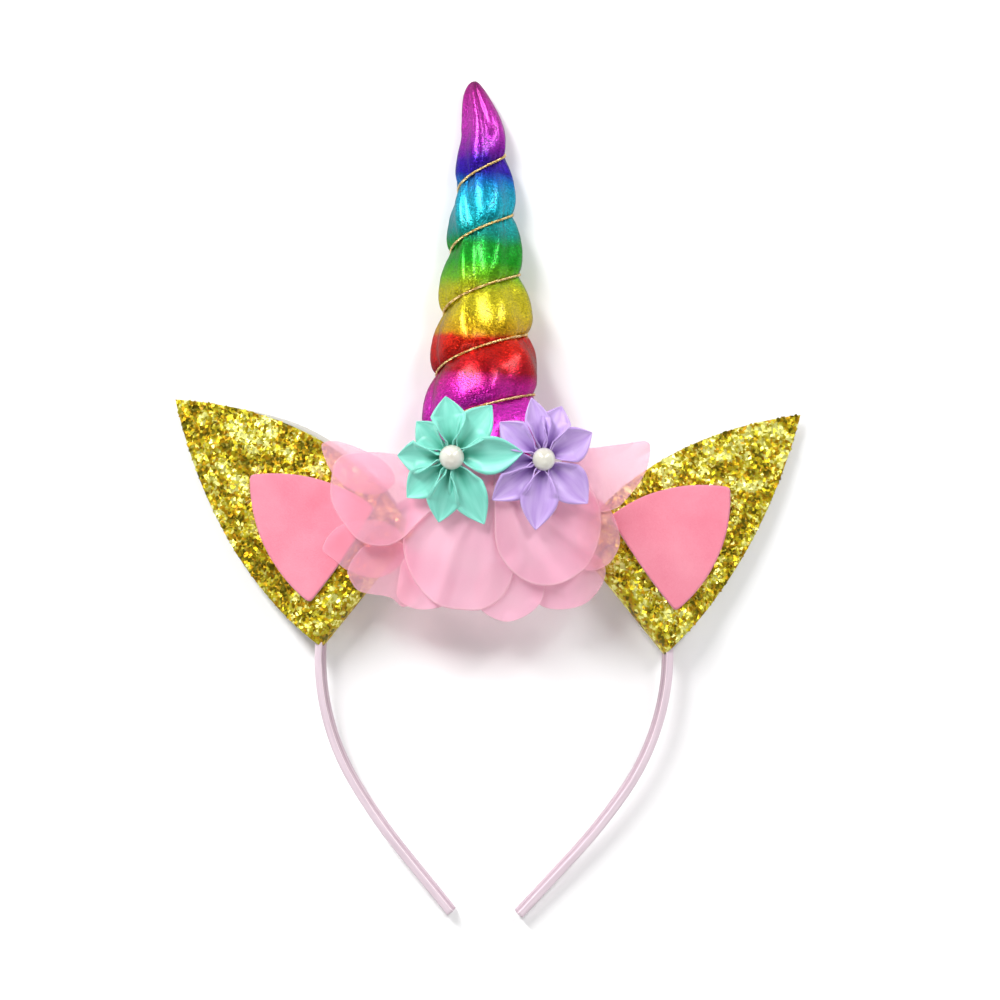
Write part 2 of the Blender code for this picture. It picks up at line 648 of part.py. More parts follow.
def rest_on_floor(horn, cord, worn_to_floor):
    # The stuffing gives, so what would be below the floor is flat on it,
    # and the cord is pressed into the groove above it
    floor_to_worn = worn_to_floor.inverted()
    seat = CORD_RADIUS + CORD_CLEARANCE
    points = cord.data.splines[0].points
    for vert in horn.data.vertices:
        in_groove = min((point.co.to_3d() - vert.co).length for point in points) < seat + GAP
        lowest = seat + CORD_RADIUS if in_groove else 0.0
        place = worn_to_floor @ vert.co
        if place.z < lowest:
            place.z = lowest
            vert.co = floor_to_worn @ place
    for point in points:
        place = worn_to_floor @ point.co.to_3d()
        place.z = max(place.z, CORD_RADIUS)
        point.co = (*(floor_to_worn @ place), 1.0)


def main():
    clear_scene()
    headband = make_collection("unicorn horn headband")
    cutters = make_collection("cutters")

    tunnel = loft("strip_tunnel", band_rings(EAR_CLEARANCE), "pink satin")
    tunnel.hide_render = True
    tunnel.display_type = "WIRE"
    cutters.objects.link(tunnel)

    horn = make_horn()
    cord = make_horn_cord()
    ears = [make_ear(ear, tunnel) for ear in EARS]
    pieces = [make_band(), make_felt_base(), horn, cord, *ears]
    pieces += [make_inner_ear(ear) for ear in EARS]
    pieces += [make_chiffon_petal(petal) for petal in CHIFFON_PETALS]
    for flower in FLOWERS:
        pieces += [make_flower_petal(flower, i) for i in range(len(flower["petals"]))]
        pieces.append(make_pearl(flower))

    heel = resting_heel()
    resting = [(vert.co, HORN_REST_FLAT) for vert in horn.data.vertices]
    resting += [(vert.co, 0.0) for ear in ears for vert in ear.data.vertices]
    turn = Matrix.Rotation(-math.radians(90) + lay_angle(resting, heel), 4, "X")
    height = (turn @ heel).z
    worn_to_floor = Matrix.Translation((0.0, 0.0, -height)) @ turn
    rest_on_floor(horn, cord, worn_to_floor)

    lying = bpy.data.objects.new("lying on its back", None)
    headband.objects.link(lying)
    for piece in pieces:
        headband.objects.link(piece)
        piece.parent = lying
    tunnel.parent = lying

    meshes = [piece.data for piece in pieces if piece.type == "MESH"]
    corners = [worn_to_floor @ vert.co for mesh in meshes for vert in mesh.vertices]
    middle_x = (min(c.x for c in corners) + max(c.x for c in corners)) / 2.0
    middle_y = (min(c.y for c in corners) + max(c.y for c in corners)) / 2.0
    lying.matrix_world = Matrix.Translation((-middle_x, -middle_y, 0.0)) @ worn_to_floor


main()
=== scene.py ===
# Unicorn horn headband lying on its back: foil horn, glitter ears, chiffon and ribbon flowers
import math
import random

import bmesh
import bpy
from mathutils import Matrix, Vector, noise


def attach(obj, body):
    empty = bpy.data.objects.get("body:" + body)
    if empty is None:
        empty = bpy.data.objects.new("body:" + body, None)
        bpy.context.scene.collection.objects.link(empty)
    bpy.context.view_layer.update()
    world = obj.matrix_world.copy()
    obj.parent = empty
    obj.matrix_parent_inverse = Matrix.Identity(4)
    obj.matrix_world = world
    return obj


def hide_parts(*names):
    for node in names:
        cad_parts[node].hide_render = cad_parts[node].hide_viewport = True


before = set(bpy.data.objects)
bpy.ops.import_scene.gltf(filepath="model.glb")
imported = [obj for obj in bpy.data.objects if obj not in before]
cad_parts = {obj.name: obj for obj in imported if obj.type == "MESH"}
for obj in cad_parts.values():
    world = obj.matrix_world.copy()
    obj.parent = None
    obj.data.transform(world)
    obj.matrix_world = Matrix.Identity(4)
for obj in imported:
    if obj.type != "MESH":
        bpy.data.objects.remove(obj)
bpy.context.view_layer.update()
random.seed(12)
print("frame loaded")

# Pieces are shaped as worn, in metres: x right, y back, z up from the middle of the crown.
# lay puts them on the floor, on the back of the horn.
lying = {"tilt": -84.5511918, "place": (0.0050448, -0.0539537, 0.0115236)}
lay = Matrix.Translation(lying["place"]) @ Matrix.Rotation(math.radians(lying["tilt"]), 4, "X")
upright = lay.to_3x3() @ Vector((0.0, 0.0, 1.0))


def hexColour(code):
    # sRGB hex to the linear values that the shader wants
    parts = [int(code[i:i + 2], 16) / 255.0 for i in (1, 3, 5)]
    return (*[p / 12.92 if p <= 0.04045 else ((p + 0.055) / 1.055) ** 2.4 for p in parts], 1.0)


def addNode(tree, kind, values=None, links=None, **settings):
    node = tree.nodes.new("ShaderNode" + kind)
    for key, value in settings.items():
        setattr(node, key, value)
    for key, value in (values or {}).items():
        node.inputs[key].default_value = value
    for key, source in (links or {}).items():      # a node stands for its first output
        tree.links.new(source.outputs[0] if hasattr(source, "outputs") else source, node.inputs[key])
    return node


def newMaterial(name, **values):
    material = bpy.data.materials.new(name)
    material.use_nodes = True
    shader = material.node_tree.nodes["Principled BSDF"]
    for key, value in values.items():
        shader.inputs[key.replace("_", " ")].default_value = value
    return material, material.node_tree, shader


def fillRamp(ramp, stops):
    while len(ramp.elements) < len(stops):
        ramp.elements.new(0.5)
    for element, (place, colour) in zip(ramp.elements, stops):
        element.position = place
        element.color = hexColour(colour)


def smoothStep(value):
    value = min(max(value, 0.0), 1.0)
    return value * value * (3.0 - 2.0 * value)


def mappedGrid(columns, rows, place, flat=(1.0, 1.0), weld=0.0):
    # A grid laid over place(u, v), u and v from 0 to 1; "cloth" is its UV map in metres of cloth
    # and "share" keeps u and v themselves
    bm = bmesh.new()
    cloth, share = bm.loops.layers.uv.new("cloth"), bm.loops.layers.uv.new("share")
    bmesh.ops.create_grid(bm, x_segments=columns, y_segments=rows, size=0.5)
    for face in bm.faces:
        for loop in face.loops:
            u, v = loop.vert.co.x + 0.5, loop.vert.co.y + 0.5
            loop[share].uv = (u, v)
            loop[cloth].uv = flat(u, v) if callable(flat) else (u * flat[0], v * flat[1])
    for vert in bm.verts:
        vert.co = place(vert.co.x + 0.5, vert.co.y + 0.5)
    if weld:
        bmesh.ops.remove_doubles(bm, verts=bm.verts, dist=weld)
        bmesh.ops.dissolve_degenerate(bm, edges=bm.edges, dist=weld)
    return bm


def makePiece(bm, name, materials, nodes=(), faceOut=True):
    bm.transform(lay)
    if faceOut:
        bmesh.ops.recalc_face_normals(bm, faces=bm.faces)
    mesh = bpy.data.meshes.new(name)
    bm.to_mesh(mesh)
    bm.free()
    mesh.shade_smooth()
    for material in materials:
        mesh.materials.append(material)
    piece = bpy.data.objects.new(name, mesh)
    bpy.context.scene.collection.objects.link(piece)
    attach(piece, "root")
    if nodes:
        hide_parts(*nodes)
    return piece


def addWall(piece, thick, backing=0):
    # backing is how many material slots further on the wall's back and rim take theirs
    wall = piece.modifiers.new("cloth wall", "SOLIDIFY")
    wall.thickness = thick
    wall.offset = 0.0
    wall.use_even_offset = False
    wall.material_offset = wall.material_offset_rim = backing


# Band: a plastic strip with satin ribbon drawn round it lengthwise
band = {
    "crownRadius": 0.0591, "armRadius": 0.083, "armSweep": 33.0, "curlRadius": 0.200,
    "curlSweep": 8.0, "straight": 0.0265, "widthCrown": 0.0080, "widthEnd": 0.0064,
    "thick": 0.0024, "flare": 12.0, "corner": 0.00040, "tip": 0.0005, "fold": 0.0006, "endTaper": 0.10,
    # the last two shares round the section mark painted shade on the inner face and a painted highlight on
    # the corner next to it
    "seamStep": 0.00022, "inside": (0.505, 0.84), "highlightPaintedCorner": (0.482, 0.505),
}
flare = math.radians(band["flare"])
frontWards = Vector((0.0, -1.0, 0.0))


def bandStation(walked):
    # x, z and the angle of the outward normal, that far along from the crown's top to an end
    x, z, angle = 0.0, band["crownRadius"], 0.0
    stretches = (
        (band["crownRadius"], math.radians(90.0)), (band["armRadius"], math.radians(band["armSweep"])),
        (band["curlRadius"], math.radians(band["curlSweep"])),
    )
    for radius, sweep in stretches:
        turn = min(walked / radius, sweep)
        x += radius * (math.sin(angle + turn) - math.sin(angle))
        z += radius * (math.cos(angle + turn) - math.cos(angle))
        angle += turn
        walked -= turn * radius
    return x + walked * math.cos(angle), z - walked * math.sin(angle), angle


bandHalf = (
    band["crownRadius"] * math.radians(90.0) + band["armRadius"] * math.radians(band["armSweep"])
    + band["curlRadius"] * math.radians(band["curlSweep"]) + band["straight"]
)


def stripPoint(along, turn):
    # along from -1 to 1 over the strip, turn from 0 to 1 round its section
    side = -1.0 if along < 0.0 else 1.0
    walked = abs(along) * (bandHalf + band["tip"])
    x, z, angle = bandStation(walked)
    x, angle = side * x, side * angle
    share = min(walked / bandHalf, 1.0)
    width = band["widthCrown"] + (band["widthEnd"] - band["widthCrown"]) * share
    # the ribbon is folded over the ends, which are square with softened corners
    past = max(walked - bandHalf + band["fold"], 0.0) / (band["tip"] + band["fold"])
    close = max(1.0 - past ** 6, 0.0) ** (1.0 / 3.0)
    halfW = width / 2.0 * (1.0 - band["endTaper"] * past ** 2) * close
    halfT = band["thick"] / 2.0 * close
    corner = min(band["corner"], halfT)
    flatW, flatT = halfW - corner, max(halfT - corner, 0.0)
    # walk round the rounded rectangle
    pieces = (2.0 * flatW, corner * math.pi / 2, 2.0 * flatT, corner * math.pi / 2) * 2
    left = turn * sum(pieces)
    corners = ((flatW, flatT), (flatW, -flatT), (-flatW, -flatT), (-flatW, flatT))
    w, t = 0.0, 0.0
    for i, length in enumerate(pieces):
        if left <= length or i == 7:
            s = left / length if length > 0.0 else 0.0
            if i % 2:
                cx, cy = corners[i // 2]
                a = math.pi / 2 - (i // 2) * math.pi / 2 - s * math.pi / 2
                w, t = cx + corner * math.cos(a), cy + corner * math.sin(a)
            elif i == 0:
                w, t = -flatW + 2.0 * flatW * s, halfT
            elif i == 2:
                w, t = halfW, flatT - 2.0 * flatT * s
            elif i == 4:
                w, t = flatW - 2.0 * flatW * s, -halfT
            else:
                w, t = -halfW, -flatT + 2.0 * flatT * s
            break
        left -= length
    outward = Vector((math.sin(angle), 0.0, math.cos(angle)))
    wide = frontWards * math.cos(flare) + outward * math.sin(flare)
    thickWay = outward * math.cos(flare) - frontWards * math.sin(flare)
    # the ribbon's edges meet on the inner face, one over the other
    if t < 0.0 and abs(t) >= halfT * 0.98:
        lap = smoothStep((0.0006 + 0.0005 * noise.noise(Vector((along * 40.0, 3.0, 0.0))) - w) / 0.00025)
        t -= band["seamStep"] * lap
    pull = 0.00005 * noise.noise(Vector((along * 160.0 + w * 300.0, w * 500.0, t * 300.0)))
    return Vector((x, 0.0, z)) + wide * w + thickWay * (t + math.copysign(pull, t))


def makeSatin(name, light, dark, sheen=0.25, rough=0.36, crease=None):
    # woven polyester satin: long floats give a soft streaky gloss across the ribbon
    material, tree, shader = newMaterial(
        name, Roughness=rough, Anisotropic=0.45, Sheen_Weight=sheen, Sheen_Roughness=0.35,
        Specular_IOR_Level=0.55, IOR=1.5)
    uv = addNode(tree, "UVMap", uv_map="cloth")
    fine = 300.0 if crease else 900.0
    streak = addNode(tree, "Mapping", {"Scale": (60.0, fine, 1.0)}, {"Vector": uv})
    cloud = addNode(tree, "TexNoise", {"Scale": 1.0, "Detail": 3.0}, {"Vector": streak})
    ramp = addNode(tree, "ValToRGB", links={"Fac": cloud})
    fillRamp(ramp.color_ramp, ((0.30, dark), (0.70, light)))
    colour = ramp.outputs["Color"]
    if crease:
        # painted shade: the colour darkens along the middle towards the root of a petal, where the cupped
        # ribbon lies in shade
        share = addNode(tree, "UVMap", uv_map="share")
        parts = addNode(tree, "SeparateXYZ", links={0: share})
        offMiddle = addNode(tree, "Math", {1: -0.5}, {0: parts.outputs["Y"]}, operation="ADD")
        aside = addNode(tree, "Math", links={0: offMiddle}, operation="ABSOLUTE")
        reach = addNode(tree, "Math", {1: 1.1}, {0: aside, 2: parts.outputs["X"]},
                        operation="MULTIPLY_ADD")
        depth = addNode(
            tree, "MapRange", {"From Min": 0.10, "From Max": 0.62, "To Min": 0.85, "To Max": 0.0},
            {"Value": reach}, interpolation_type="SMOOTHSTEP")
        fold = addNode(tree, "Mix", {7: hexColour(crease)}, {0: depth, 6: colour}, data_type="RGBA")
        colour = fold.outputs[2]
    tree.links.new(colour, shader.inputs["Base Color"])
    # weft threads 0.22 mm apart
    weft = addNode(tree, "TexWave", {"Scale": 0.314 / 0.00022, "Distortion": 1.2, "Detail": 1.0},
                   {"Vector": uv}, bands_direction="X")
    bump = addNode(tree, "Bump", {"Strength": 0.10, "Distance": 0.0001}, {"Height": weft.outputs["Fac"]})
    tree.links.new(bump.outputs["Normal"], shader.inputs["Normal"])
    return material


def strandShare(u):
    # from -1 to 1, with the rows set closer at both ends
    along = 2.0 * u - 1.0
    return math.copysign(1.0 - (1.0 - abs(along)) ** 1.15 if abs(along) > 0.9 else abs(along), along)


pinkSatin = makeSatin("pale pink satin ribbon", "#D6C4CD", "#C6B3BD")
# the inner face satin is darker as painted shade, the corner satin paler as a painted highlight
paintedShadeSatin = makeSatin("pale pink satin, inner face with painted shade", "#BCA0AE", "#AA8E9D", sheen=0.1)
paintedHighlightSatin = makeSatin("pale pink satin with a painted highlight on the corner", "#F4E4EA", "#E8D4DD", rough=0.34)
bandMesh = mappedGrid(420, 56, lambda u, v: stripPoint(strandShare(u), v), (0.36, 0.02), weld=1e-7)
bmesh.ops.holes_fill(bandMesh, edges=[e for e in bandMesh.edges if e.is_boundary], sides=0)
shareMap = bandMesh.loops.layers.uv["share"]
# the inside gets a darker satin as painted shade on the inner face, and the corner before it a paler satin as
# a painted highlight, by the share of the way round the section
for face in bandMesh.faces:
    turn = sum(loop[shareMap].uv.y for loop in face.loops) / len(face.loops)
    for index, (start, end) in ((1, band["inside"]), (2, band["highlightPaintedCorner"])):
        if start < turn < end:
            face.material_index = index
makePiece(bandMesh, "satinBand", [pinkSatin, paintedShadeSatin, paintedHighlightSatin], ["band"])
print("band done")

# Horn: foil cloth stuffed with wadding and wound round with a thread
horn = {
    "length": 0.136, "baseRadius": 0.0230, "topRadius": 0.0052, "depthShare": 0.90,
    "sideShift": -0.0058, "forwardShift": 0.0020, "lean": 2.0, "tipHook": 0.0030,
    "pitch": 0.0213, "firstCrossing": 0.0186, "turnSlope": 0.11, "levelTip": 0.125,
    "groove": 0.0038, "sag": 0.85, "round": 2.4, "tipRound": 16, "hookStart": 0.86,
    "cordStart": -0.85, "cordEnd": 4.42, "cordFade": 0.35, "felt": 0.0026,
    "columns": 110, "rows": 26, "pleat": 0.00062, "pleats": 6, "pleatLow": 1.40, "pleatFall": 0.45,
    "pucker": 0.00030, "puckers": 24, "puckerReach": 9.0, "crumple": 0.00010,
}
crown = (
    Matrix.Translation((0.0, 0.0, band["crownRadius"])) @ Matrix.Rotation(-flare, 4, "X")
    @ Matrix.Translation((horn["sideShift"], -horn["forwardShift"], band["thick"] / 2.0))
)
hornStand = crown @ Matrix.Translation((0.0, 0.0, horn["felt"])) @ Matrix.Rotation(
    -math.radians(horn["lean"]), 4, "Y")


def hornPoint(wound, across, outwards=0.0, soft=1.0):
    # wound counts turns of the thread, across goes from one turn of it to the next
    place = wound + across
    height = min(horn["firstCrossing"] + horn["pitch"] * place, horn["length"])
    share = min(max(height / horn["length"], -0.2), 1.0)
    cone = horn["topRadius"] + (horn["baseRadius"] - horn["topRadius"]) * (1.0 - share)
    radius = cone * math.sqrt(1.0 - max(share, 0.0) ** horn["tipRound"])
    fullness = 1.0 - abs(2.0 * (across % 1.0) ** horn["sag"] - 1.0) ** horn["round"]
    fade = smoothStep((horn["cordEnd"] - place) / horn["cordFade"] + 1.0)
    groove = horn["groove"] * (0.25 + 0.75 * radius / horn["baseRadius"])
    angle = 2.0 * math.pi * wound - math.pi / 2.0
    around = Vector((math.cos(angle), math.sin(angle), 0.0))
    # long gathers that run up the horn, short puckers where the thread pulls, and crumples
    drift = noise.noise(around * 1.1 + Vector((0.0, 0.0, height * 22.0)))
    pleat = math.sin(horn["pleats"] * angle + 4.0 * drift + 1.2 * place)
    pleat *= horn["pleatLow"] - horn["pleatFall"] * share
    nearThread = math.exp(-min(across % 1.0, 1.0 - across % 1.0) * horn["puckerReach"]) * fade
    pucker = math.sin(horn["puckers"] * angle + 5.0 * drift + 2.0 * place) * nearThread
    crumple = noise.noise(around * radius * 380.0 + Vector((0.0, 0.0, height * 260.0)))
    body = min(radius / 0.006, 1.0) * soft
    relief = horn["pleat"] * pleat * (1.0 - 0.6 * nearThread) + horn["pucker"] * pucker
    relief = (relief + horn["crumple"] * crumple) * body
    radius = max(radius - groove * (1.0 - fullness) * fade + relief, 0.0) + outwards
    x = radius * math.cos(angle)
    hook = horn["tipHook"] * smoothStep((share - horn["hookStart"]) / (1.0 - horn["hookStart"]))
    slope = horn["turnSlope"] * x * min(1.0, (1.0 - height / horn["length"]) / horn["levelTip"])
    return Vector((x - hook, radius * horn["depthShare"] * math.sin(angle), height + slope))


def makeFoil():
    # crackle foil on knitted cloth: metal gloss with a faint net of cracks, in bands of dye that darken
    # towards the horn's outline
    material, tree, shader = newMaterial(
        "rainbow crackle foil on cloth", Metallic=0.94, Roughness=0.29, Coat_Weight=0.30,
        Coat_Roughness=0.25, Specular_Tint=(0.30, 0.30, 0.30, 1.0))
    where = addNode(tree, "TexCoord").outputs["Object"]
    warp = addNode(tree, "TexNoise", {"Scale": 110.0, "Detail": 4.0}, {"Vector": where})
    height = addNode(tree, "VectorMath", {1: upright}, {0: where}, operation="DOT_PRODUCT")
    ragged = addNode(tree, "Math", {1: 0.006, 2: -0.003}, {0: warp}, operation="MULTIPLY_ADD")
    sway = addNode(tree, "Math", links={0: height.outputs["Value"], 1: ragged})
    low = upright.dot(Vector(lying["place"])) + 0.060
    span = addNode(tree, "MapRange", {"From Min": low, "From Max": low + 0.136}, {"Value": sway})
    ramp = addNode(tree, "ValToRGB", links={"Fac": span})
    # heights in mm above the middle of the crown, from the felt to the tip
    dyes = (
        (62, "#BA189D"), (84, "#D428BB"), (92, "#C92091"), (96.5, "#A20721"), (101, "#C11312"),
        (107.5, "#DF2A12"), (109.5, "#CF9A12"), (116, "#D1BC1F"), (124, "#C2BC1F"), (129, "#6BB71C"),
        (134, "#1EA21E"), (140, "#18932D"), (144, "#129187"), (150, "#1BB0C2"), (158, "#199EC4"),
        (162, "#1864C2"), (164.5, "#2718A2"), (169, "#4115A4"), (173, "#871DA3"), (180, "#BA36B0"),
        (190, "#B72A9B"), (195, "#941D73"),
    )
    fillRamp(ramp.color_ramp, [((mm - 60.0) / 136.0, dye) for mm, dye in dyes])
    stretch = addNode(tree, "Mapping", {"Scale": (0.75, 1.25, 1.0)}, {"Vector": where})
    cracks = addNode(tree, "TexVoronoi", {"Scale": 1300.0}, {"Vector": stretch},
                     feature="DISTANCE_TO_EDGE")
    line = addNode(tree, "MapRange", {"From Min": 0.0, "From Max": 0.10}, {"Value": cracks})
    grain = addNode(tree, "TexNoise", {"Scale": 1300.0, "Detail": 4.0}, {"Vector": stretch})
    shade = addNode(
        tree, "MapRange", {"From Min": 0.3, "From Max": 0.7, "To Min": 0.62, "To Max": 1.22},
        {"Value": grain})
    tone = addNode(tree, "HueSaturation", links={"Color": ramp, "Value": shade})
    seam = addNode(tree, "Mix", {6: (0.55, 0.55, 0.55, 1.0), 7: (1.0, 1.0, 1.0, 1.0)},
                   {0: line}, data_type="RGBA")
    paint = addNode(tree, "Mix", {0: 1.0}, {6: tone.outputs["Color"], 7: seam.outputs[2]},
                    data_type="RGBA", blend_type="MULTIPLY")
    tree.links.new(paint.outputs[2], shader.inputs["Base Color"])
    relief = addNode(tree, "Math", links={0: grain, 1: line}, operation="MULTIPLY")
    bump = addNode(tree, "Bump", {"Strength": 0.55, "Distance": 0.00022}, {"Height": relief})
    tree.links.new(bump.outputs["Normal"], shader.inputs["Normal"])
    return material


foil = makeFoil()
turns = {"first": -3.0, "last": 5.6}
turnCount = turns["last"] - turns["first"]
hornMesh = mappedGrid(
    round(turnCount * horn["columns"]), horn["rows"],
    lambda u, v: hornPoint(turns["first"] + turnCount * u, v), (0.9, 0.0213), weld=2e-6)
hornMesh.transform(hornStand)
bmesh.ops.bisect_plane(
    hornMesh, geom=hornMesh.verts[:] + hornMesh.edges[:] + hornMesh.faces[:], dist=1e-7,
    plane_co=crown @ Vector((0.0, 0.0, horn["felt"])),
    plane_no=crown.to_3x3() @ Vector((0.0, 0.0, 1.0)), clear_inner=True)
bmesh.ops.holes_fill(hornMesh, edges=[e for e in hornMesh.edges if e.is_boundary], sides=0)
floorSide = lay.inverted()
for vert in hornMesh.verts:      # the stuffing gives where the horn lies on the floor
    spot = lay @ vert.co
    if spot.z < 0.0:
        spot.z = 0.0
        vert.co = floorSide @ spot
hornPiece = makePiece(hornMesh, "foilHorn", [foil], ["horn"])
print("horn done")

# Thread: two plies of gold lurex twisted together
thread = {
    "ply": 0.00028, "helix": 0.00024, "twist": 0.0021, "step": 0.00024, "seat": 0.00075,
    "floor": 0.00066, "samples": 6000,
}


def threadLine(wound):
    spot = hornStand @ hornPoint(wound, 0.0, outwards=thread["seat"], soft=0.0)
    low = lay @ spot
    if low.z < thread["floor"]:  # held just above the floor under the horn
        low.z = thread["floor"]
        spot = floorSide @ low
    return spot


def makeThread():
    # metallised film wrapped on a core, which glints on each twist: here paler patches painted at random into
    # its colour stand for the glints
    material, tree, shader = newMaterial("gold lurex thread", Metallic=1.0, Roughness=0.28)
    where = addNode(tree, "TexCoord").outputs["Object"]
    paintedGlint = addNode(tree, "TexNoise", {"Scale": 900.0, "Detail": 2.0}, {"Vector": where})
    ramp = addNode(tree, "ValToRGB", links={"Fac": paintedGlint})
    fillRamp(ramp.color_ramp, ((0.35, "#AF8339"), (0.58, "#EBD295")))
    tree.links.new(ramp.outputs["Color"], shader.inputs["Base Color"])
    bump = addNode(tree, "Bump", {"Strength": 0.3, "Distance": 0.0001}, {"Height": paintedGlint})
    tree.links.new(bump.outputs["Normal"], shader.inputs["Normal"])
    return material


cordTurns = horn["cordEnd"] - horn["cordStart"]
line = [
    threadLine(horn["cordStart"] + cordTurns * i / thread["samples"])
    for i in range(thread["samples"] + 1)]
walked = [0.0]
for start, end in zip(line, line[1:]):
    walked.append(walked[-1] + (end - start).length)
curve = bpy.data.curves.new("goldThread", "CURVE")
curve.dimensions = "3D"
curve.bevel_depth = thread["ply"]
curve.bevel_resolution = 1
curve.use_fill_caps = True
steps = int(walked[-1] / thread["step"])
for ply in range(2):
    spline = curve.splines.new("POLY")
    spline.points.add(steps - 1)
    at = 0
    for k in range(steps):
        target = walked[-1] * k / (steps - 1)
        while at < len(walked) - 2 and walked[at + 1] < target:
            at += 1
        ahead = (line[at + 1] - line[at]).normalized()
        centre = line[at].lerp(line[at + 1], (target - walked[at]) / (walked[at + 1] - walked[at]))
        side = ahead.cross(Vector((0.0, 0.0, 1.0))).normalized()
        twist = 2.0 * math.pi * target / thread["twist"] + math.pi * ply
        spot = centre + (side * math.cos(twist) + ahead.cross(side) * math.sin(twist)) * thread["helix"]
        spline.points[k].co = (*(lay @ spot), 1.0)
curve.materials.append(makeThread())
threadPiece = bpy.data.objects.new("goldThread", curve)
bpy.context.scene.collection.objects.link(threadPiece)
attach(threadPiece, "root")
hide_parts("horn_cord")
print("thread done, %.0f mm" % (walked[-1] * 1000.0))


def makeFelt(name, light, dark):
    # pressed wool felt: no weave, short matted fibres and a soft halo at the edges
    material, tree, shader = newMaterial(
        name, Roughness=0.95, Sheen_Weight=0.6, Sheen_Roughness=0.5, Specular_IOR_Level=0.15)
    where = addNode(tree, "TexCoord").outputs["Object"]
    fibres = addNode(tree, "TexNoise", {"Scale": 1400.0, "Detail": 5.0, "Distortion": 1.5},
                     {"Vector": where})
    blotch = addNode(tree, "TexNoise", {"Scale": 70.0, "Detail": 3.0}, {"Vector": where})
    both = addNode(tree, "Math", {1: 0.35}, {0: fibres}, operation="MULTIPLY")
    total = addNode(tree, "Math", {1: 0.65}, {0: blotch, 2: both}, operation="MULTIPLY_ADD")
    ramp = addNode(tree, "ValToRGB", links={"Fac": total})
    fillRamp(ramp.color_ramp, ((0.35, dark), (0.62, light)))
    tree.links.new(ramp.outputs["Color"], shader.inputs["Base Color"])
    bump = addNode(tree, "Bump", {"Strength": 0.35, "Distance": 0.0003}, {"Height": fibres})
    tree.links.new(bump.outputs["Normal"], shader.inputs["Normal"])
    return material


# Felt disc that the horn is sewn to
disc = {"radius": 0.0200, "thick": 0.0020, "lift": 0.0003}
feltMesh = bmesh.new()
bmesh.ops.create_cone(feltMesh, cap_ends=True, segments=96, radius1=disc["radius"],
                      radius2=disc["radius"], depth=disc["thick"])
rims = [e for e in feltMesh.edges if abs(e.verts[0].co.z - e.verts[1].co.z) < 1e-9]
bmesh.ops.bevel(feltMesh, geom=rims, offset=0.0006, segments=3, profile=0.5, affect="EDGES", material=-1)
bmesh.ops.scale(feltMesh, vec=(1.0, horn["depthShare"], 1.0), verts=feltMesh.verts)
bmesh.ops.translate(feltMesh, vec=(0.0, 0.0, disc["lift"] + disc["thick"] / 2.0), verts=feltMesh.verts)
feltMesh.transform(crown)
whiteFelt = makeFelt("white wool felt", "#E3DFDF", "#CDC7C9")
feltPiece = makePiece(feltMesh, "feltDisc", [whiteFelt], ["felt_base"])


def leanBack(x, z):
    return max(0.0, math.hypot(x, z) - band["crownRadius"]) * math.tan(flare)


# Ears: one cut of glitter cloth each, folded round the band and glued to itself
ear = {
    "length": 0.0880, "fold": 0.0500, "wall": 0.0011, "outerBow": 0.0082, "topBow": 0.0106,
    "tipRise": 0.0090, "depth": 0.0107, "elevation": 27.2, "turn": 11.5, "pouchReach": 0.0200,
    "pouchStart": 0.0046, "clearance": 0.0004, "roundFold": 0.0048, "cloth": 0.00085,
    "bend": 0.10, "ripple": 0.00030,
}
# length and bow in shares, higher and turned in degrees, deeper into the headband and show of the
# back layer's edge in metres
ears = (
    {"name": "left", "side": -1, "length": 1.046, "bow": 1.14, "higher": -1.7, "turned": -0.1,
     "deeper": 0.0, "show": 0.0016},
    {"name": "right", "side": 1, "length": 0.994, "bow": 0.88, "higher": -0.1, "turned": 2.4,
     "deeper": 0.0016, "show": 0.0},
)
innerEar = {
    "wall": 0.0014, "bows": (0.0058, 0.0044, 0.0010), "glue": 0.0007, "softCorner": 0.008,
    "corners": ((0.137, -0.315), (0.605, 0.101), (0.172, 0.465)),
}


def earWays(each):
    side = each["side"]
    elevation = math.radians(ear["elevation"] + each["higher"])
    turned = elevation + math.radians(ear["turn"] + each["turned"])
    inside = band["crownRadius"] - ear["depth"] - each["deeper"]
    middle = Vector((side * inside * math.cos(elevation), inside * math.sin(elevation)))
    out = Vector((side * math.cos(turned), math.sin(turned)))
    along = Vector((-side * math.sin(turned), math.cos(turned)))
    return middle, out, along


def earHalf(x, z):
    pouch = band["widthCrown"] / 2.0 * math.cos(flare) + ear["clearance"] + ear["wall"]
    away = abs(math.hypot(x, z) - band["crownRadius"])
    closing = smoothStep((away - ear["pouchStart"]) / (ear["pouchReach"] - ear["pouchStart"]))
    return pouch + (ear["wall"] - pouch) * closing


def earEdges(each, t):
    # near and far edge along the fold at t from the fold to the tip
    bow = each["bow"] * 4.0 * t * (1.0 - t)
    near = -ear["fold"] / 2.0 * (1.0 - t) + ear["tipRise"] * t - bow * ear["outerBow"]
    far = ear["fold"] / 2.0 * (1.0 - t) + ear["tipRise"] * t + bow * ear["topBow"]
    return near, far


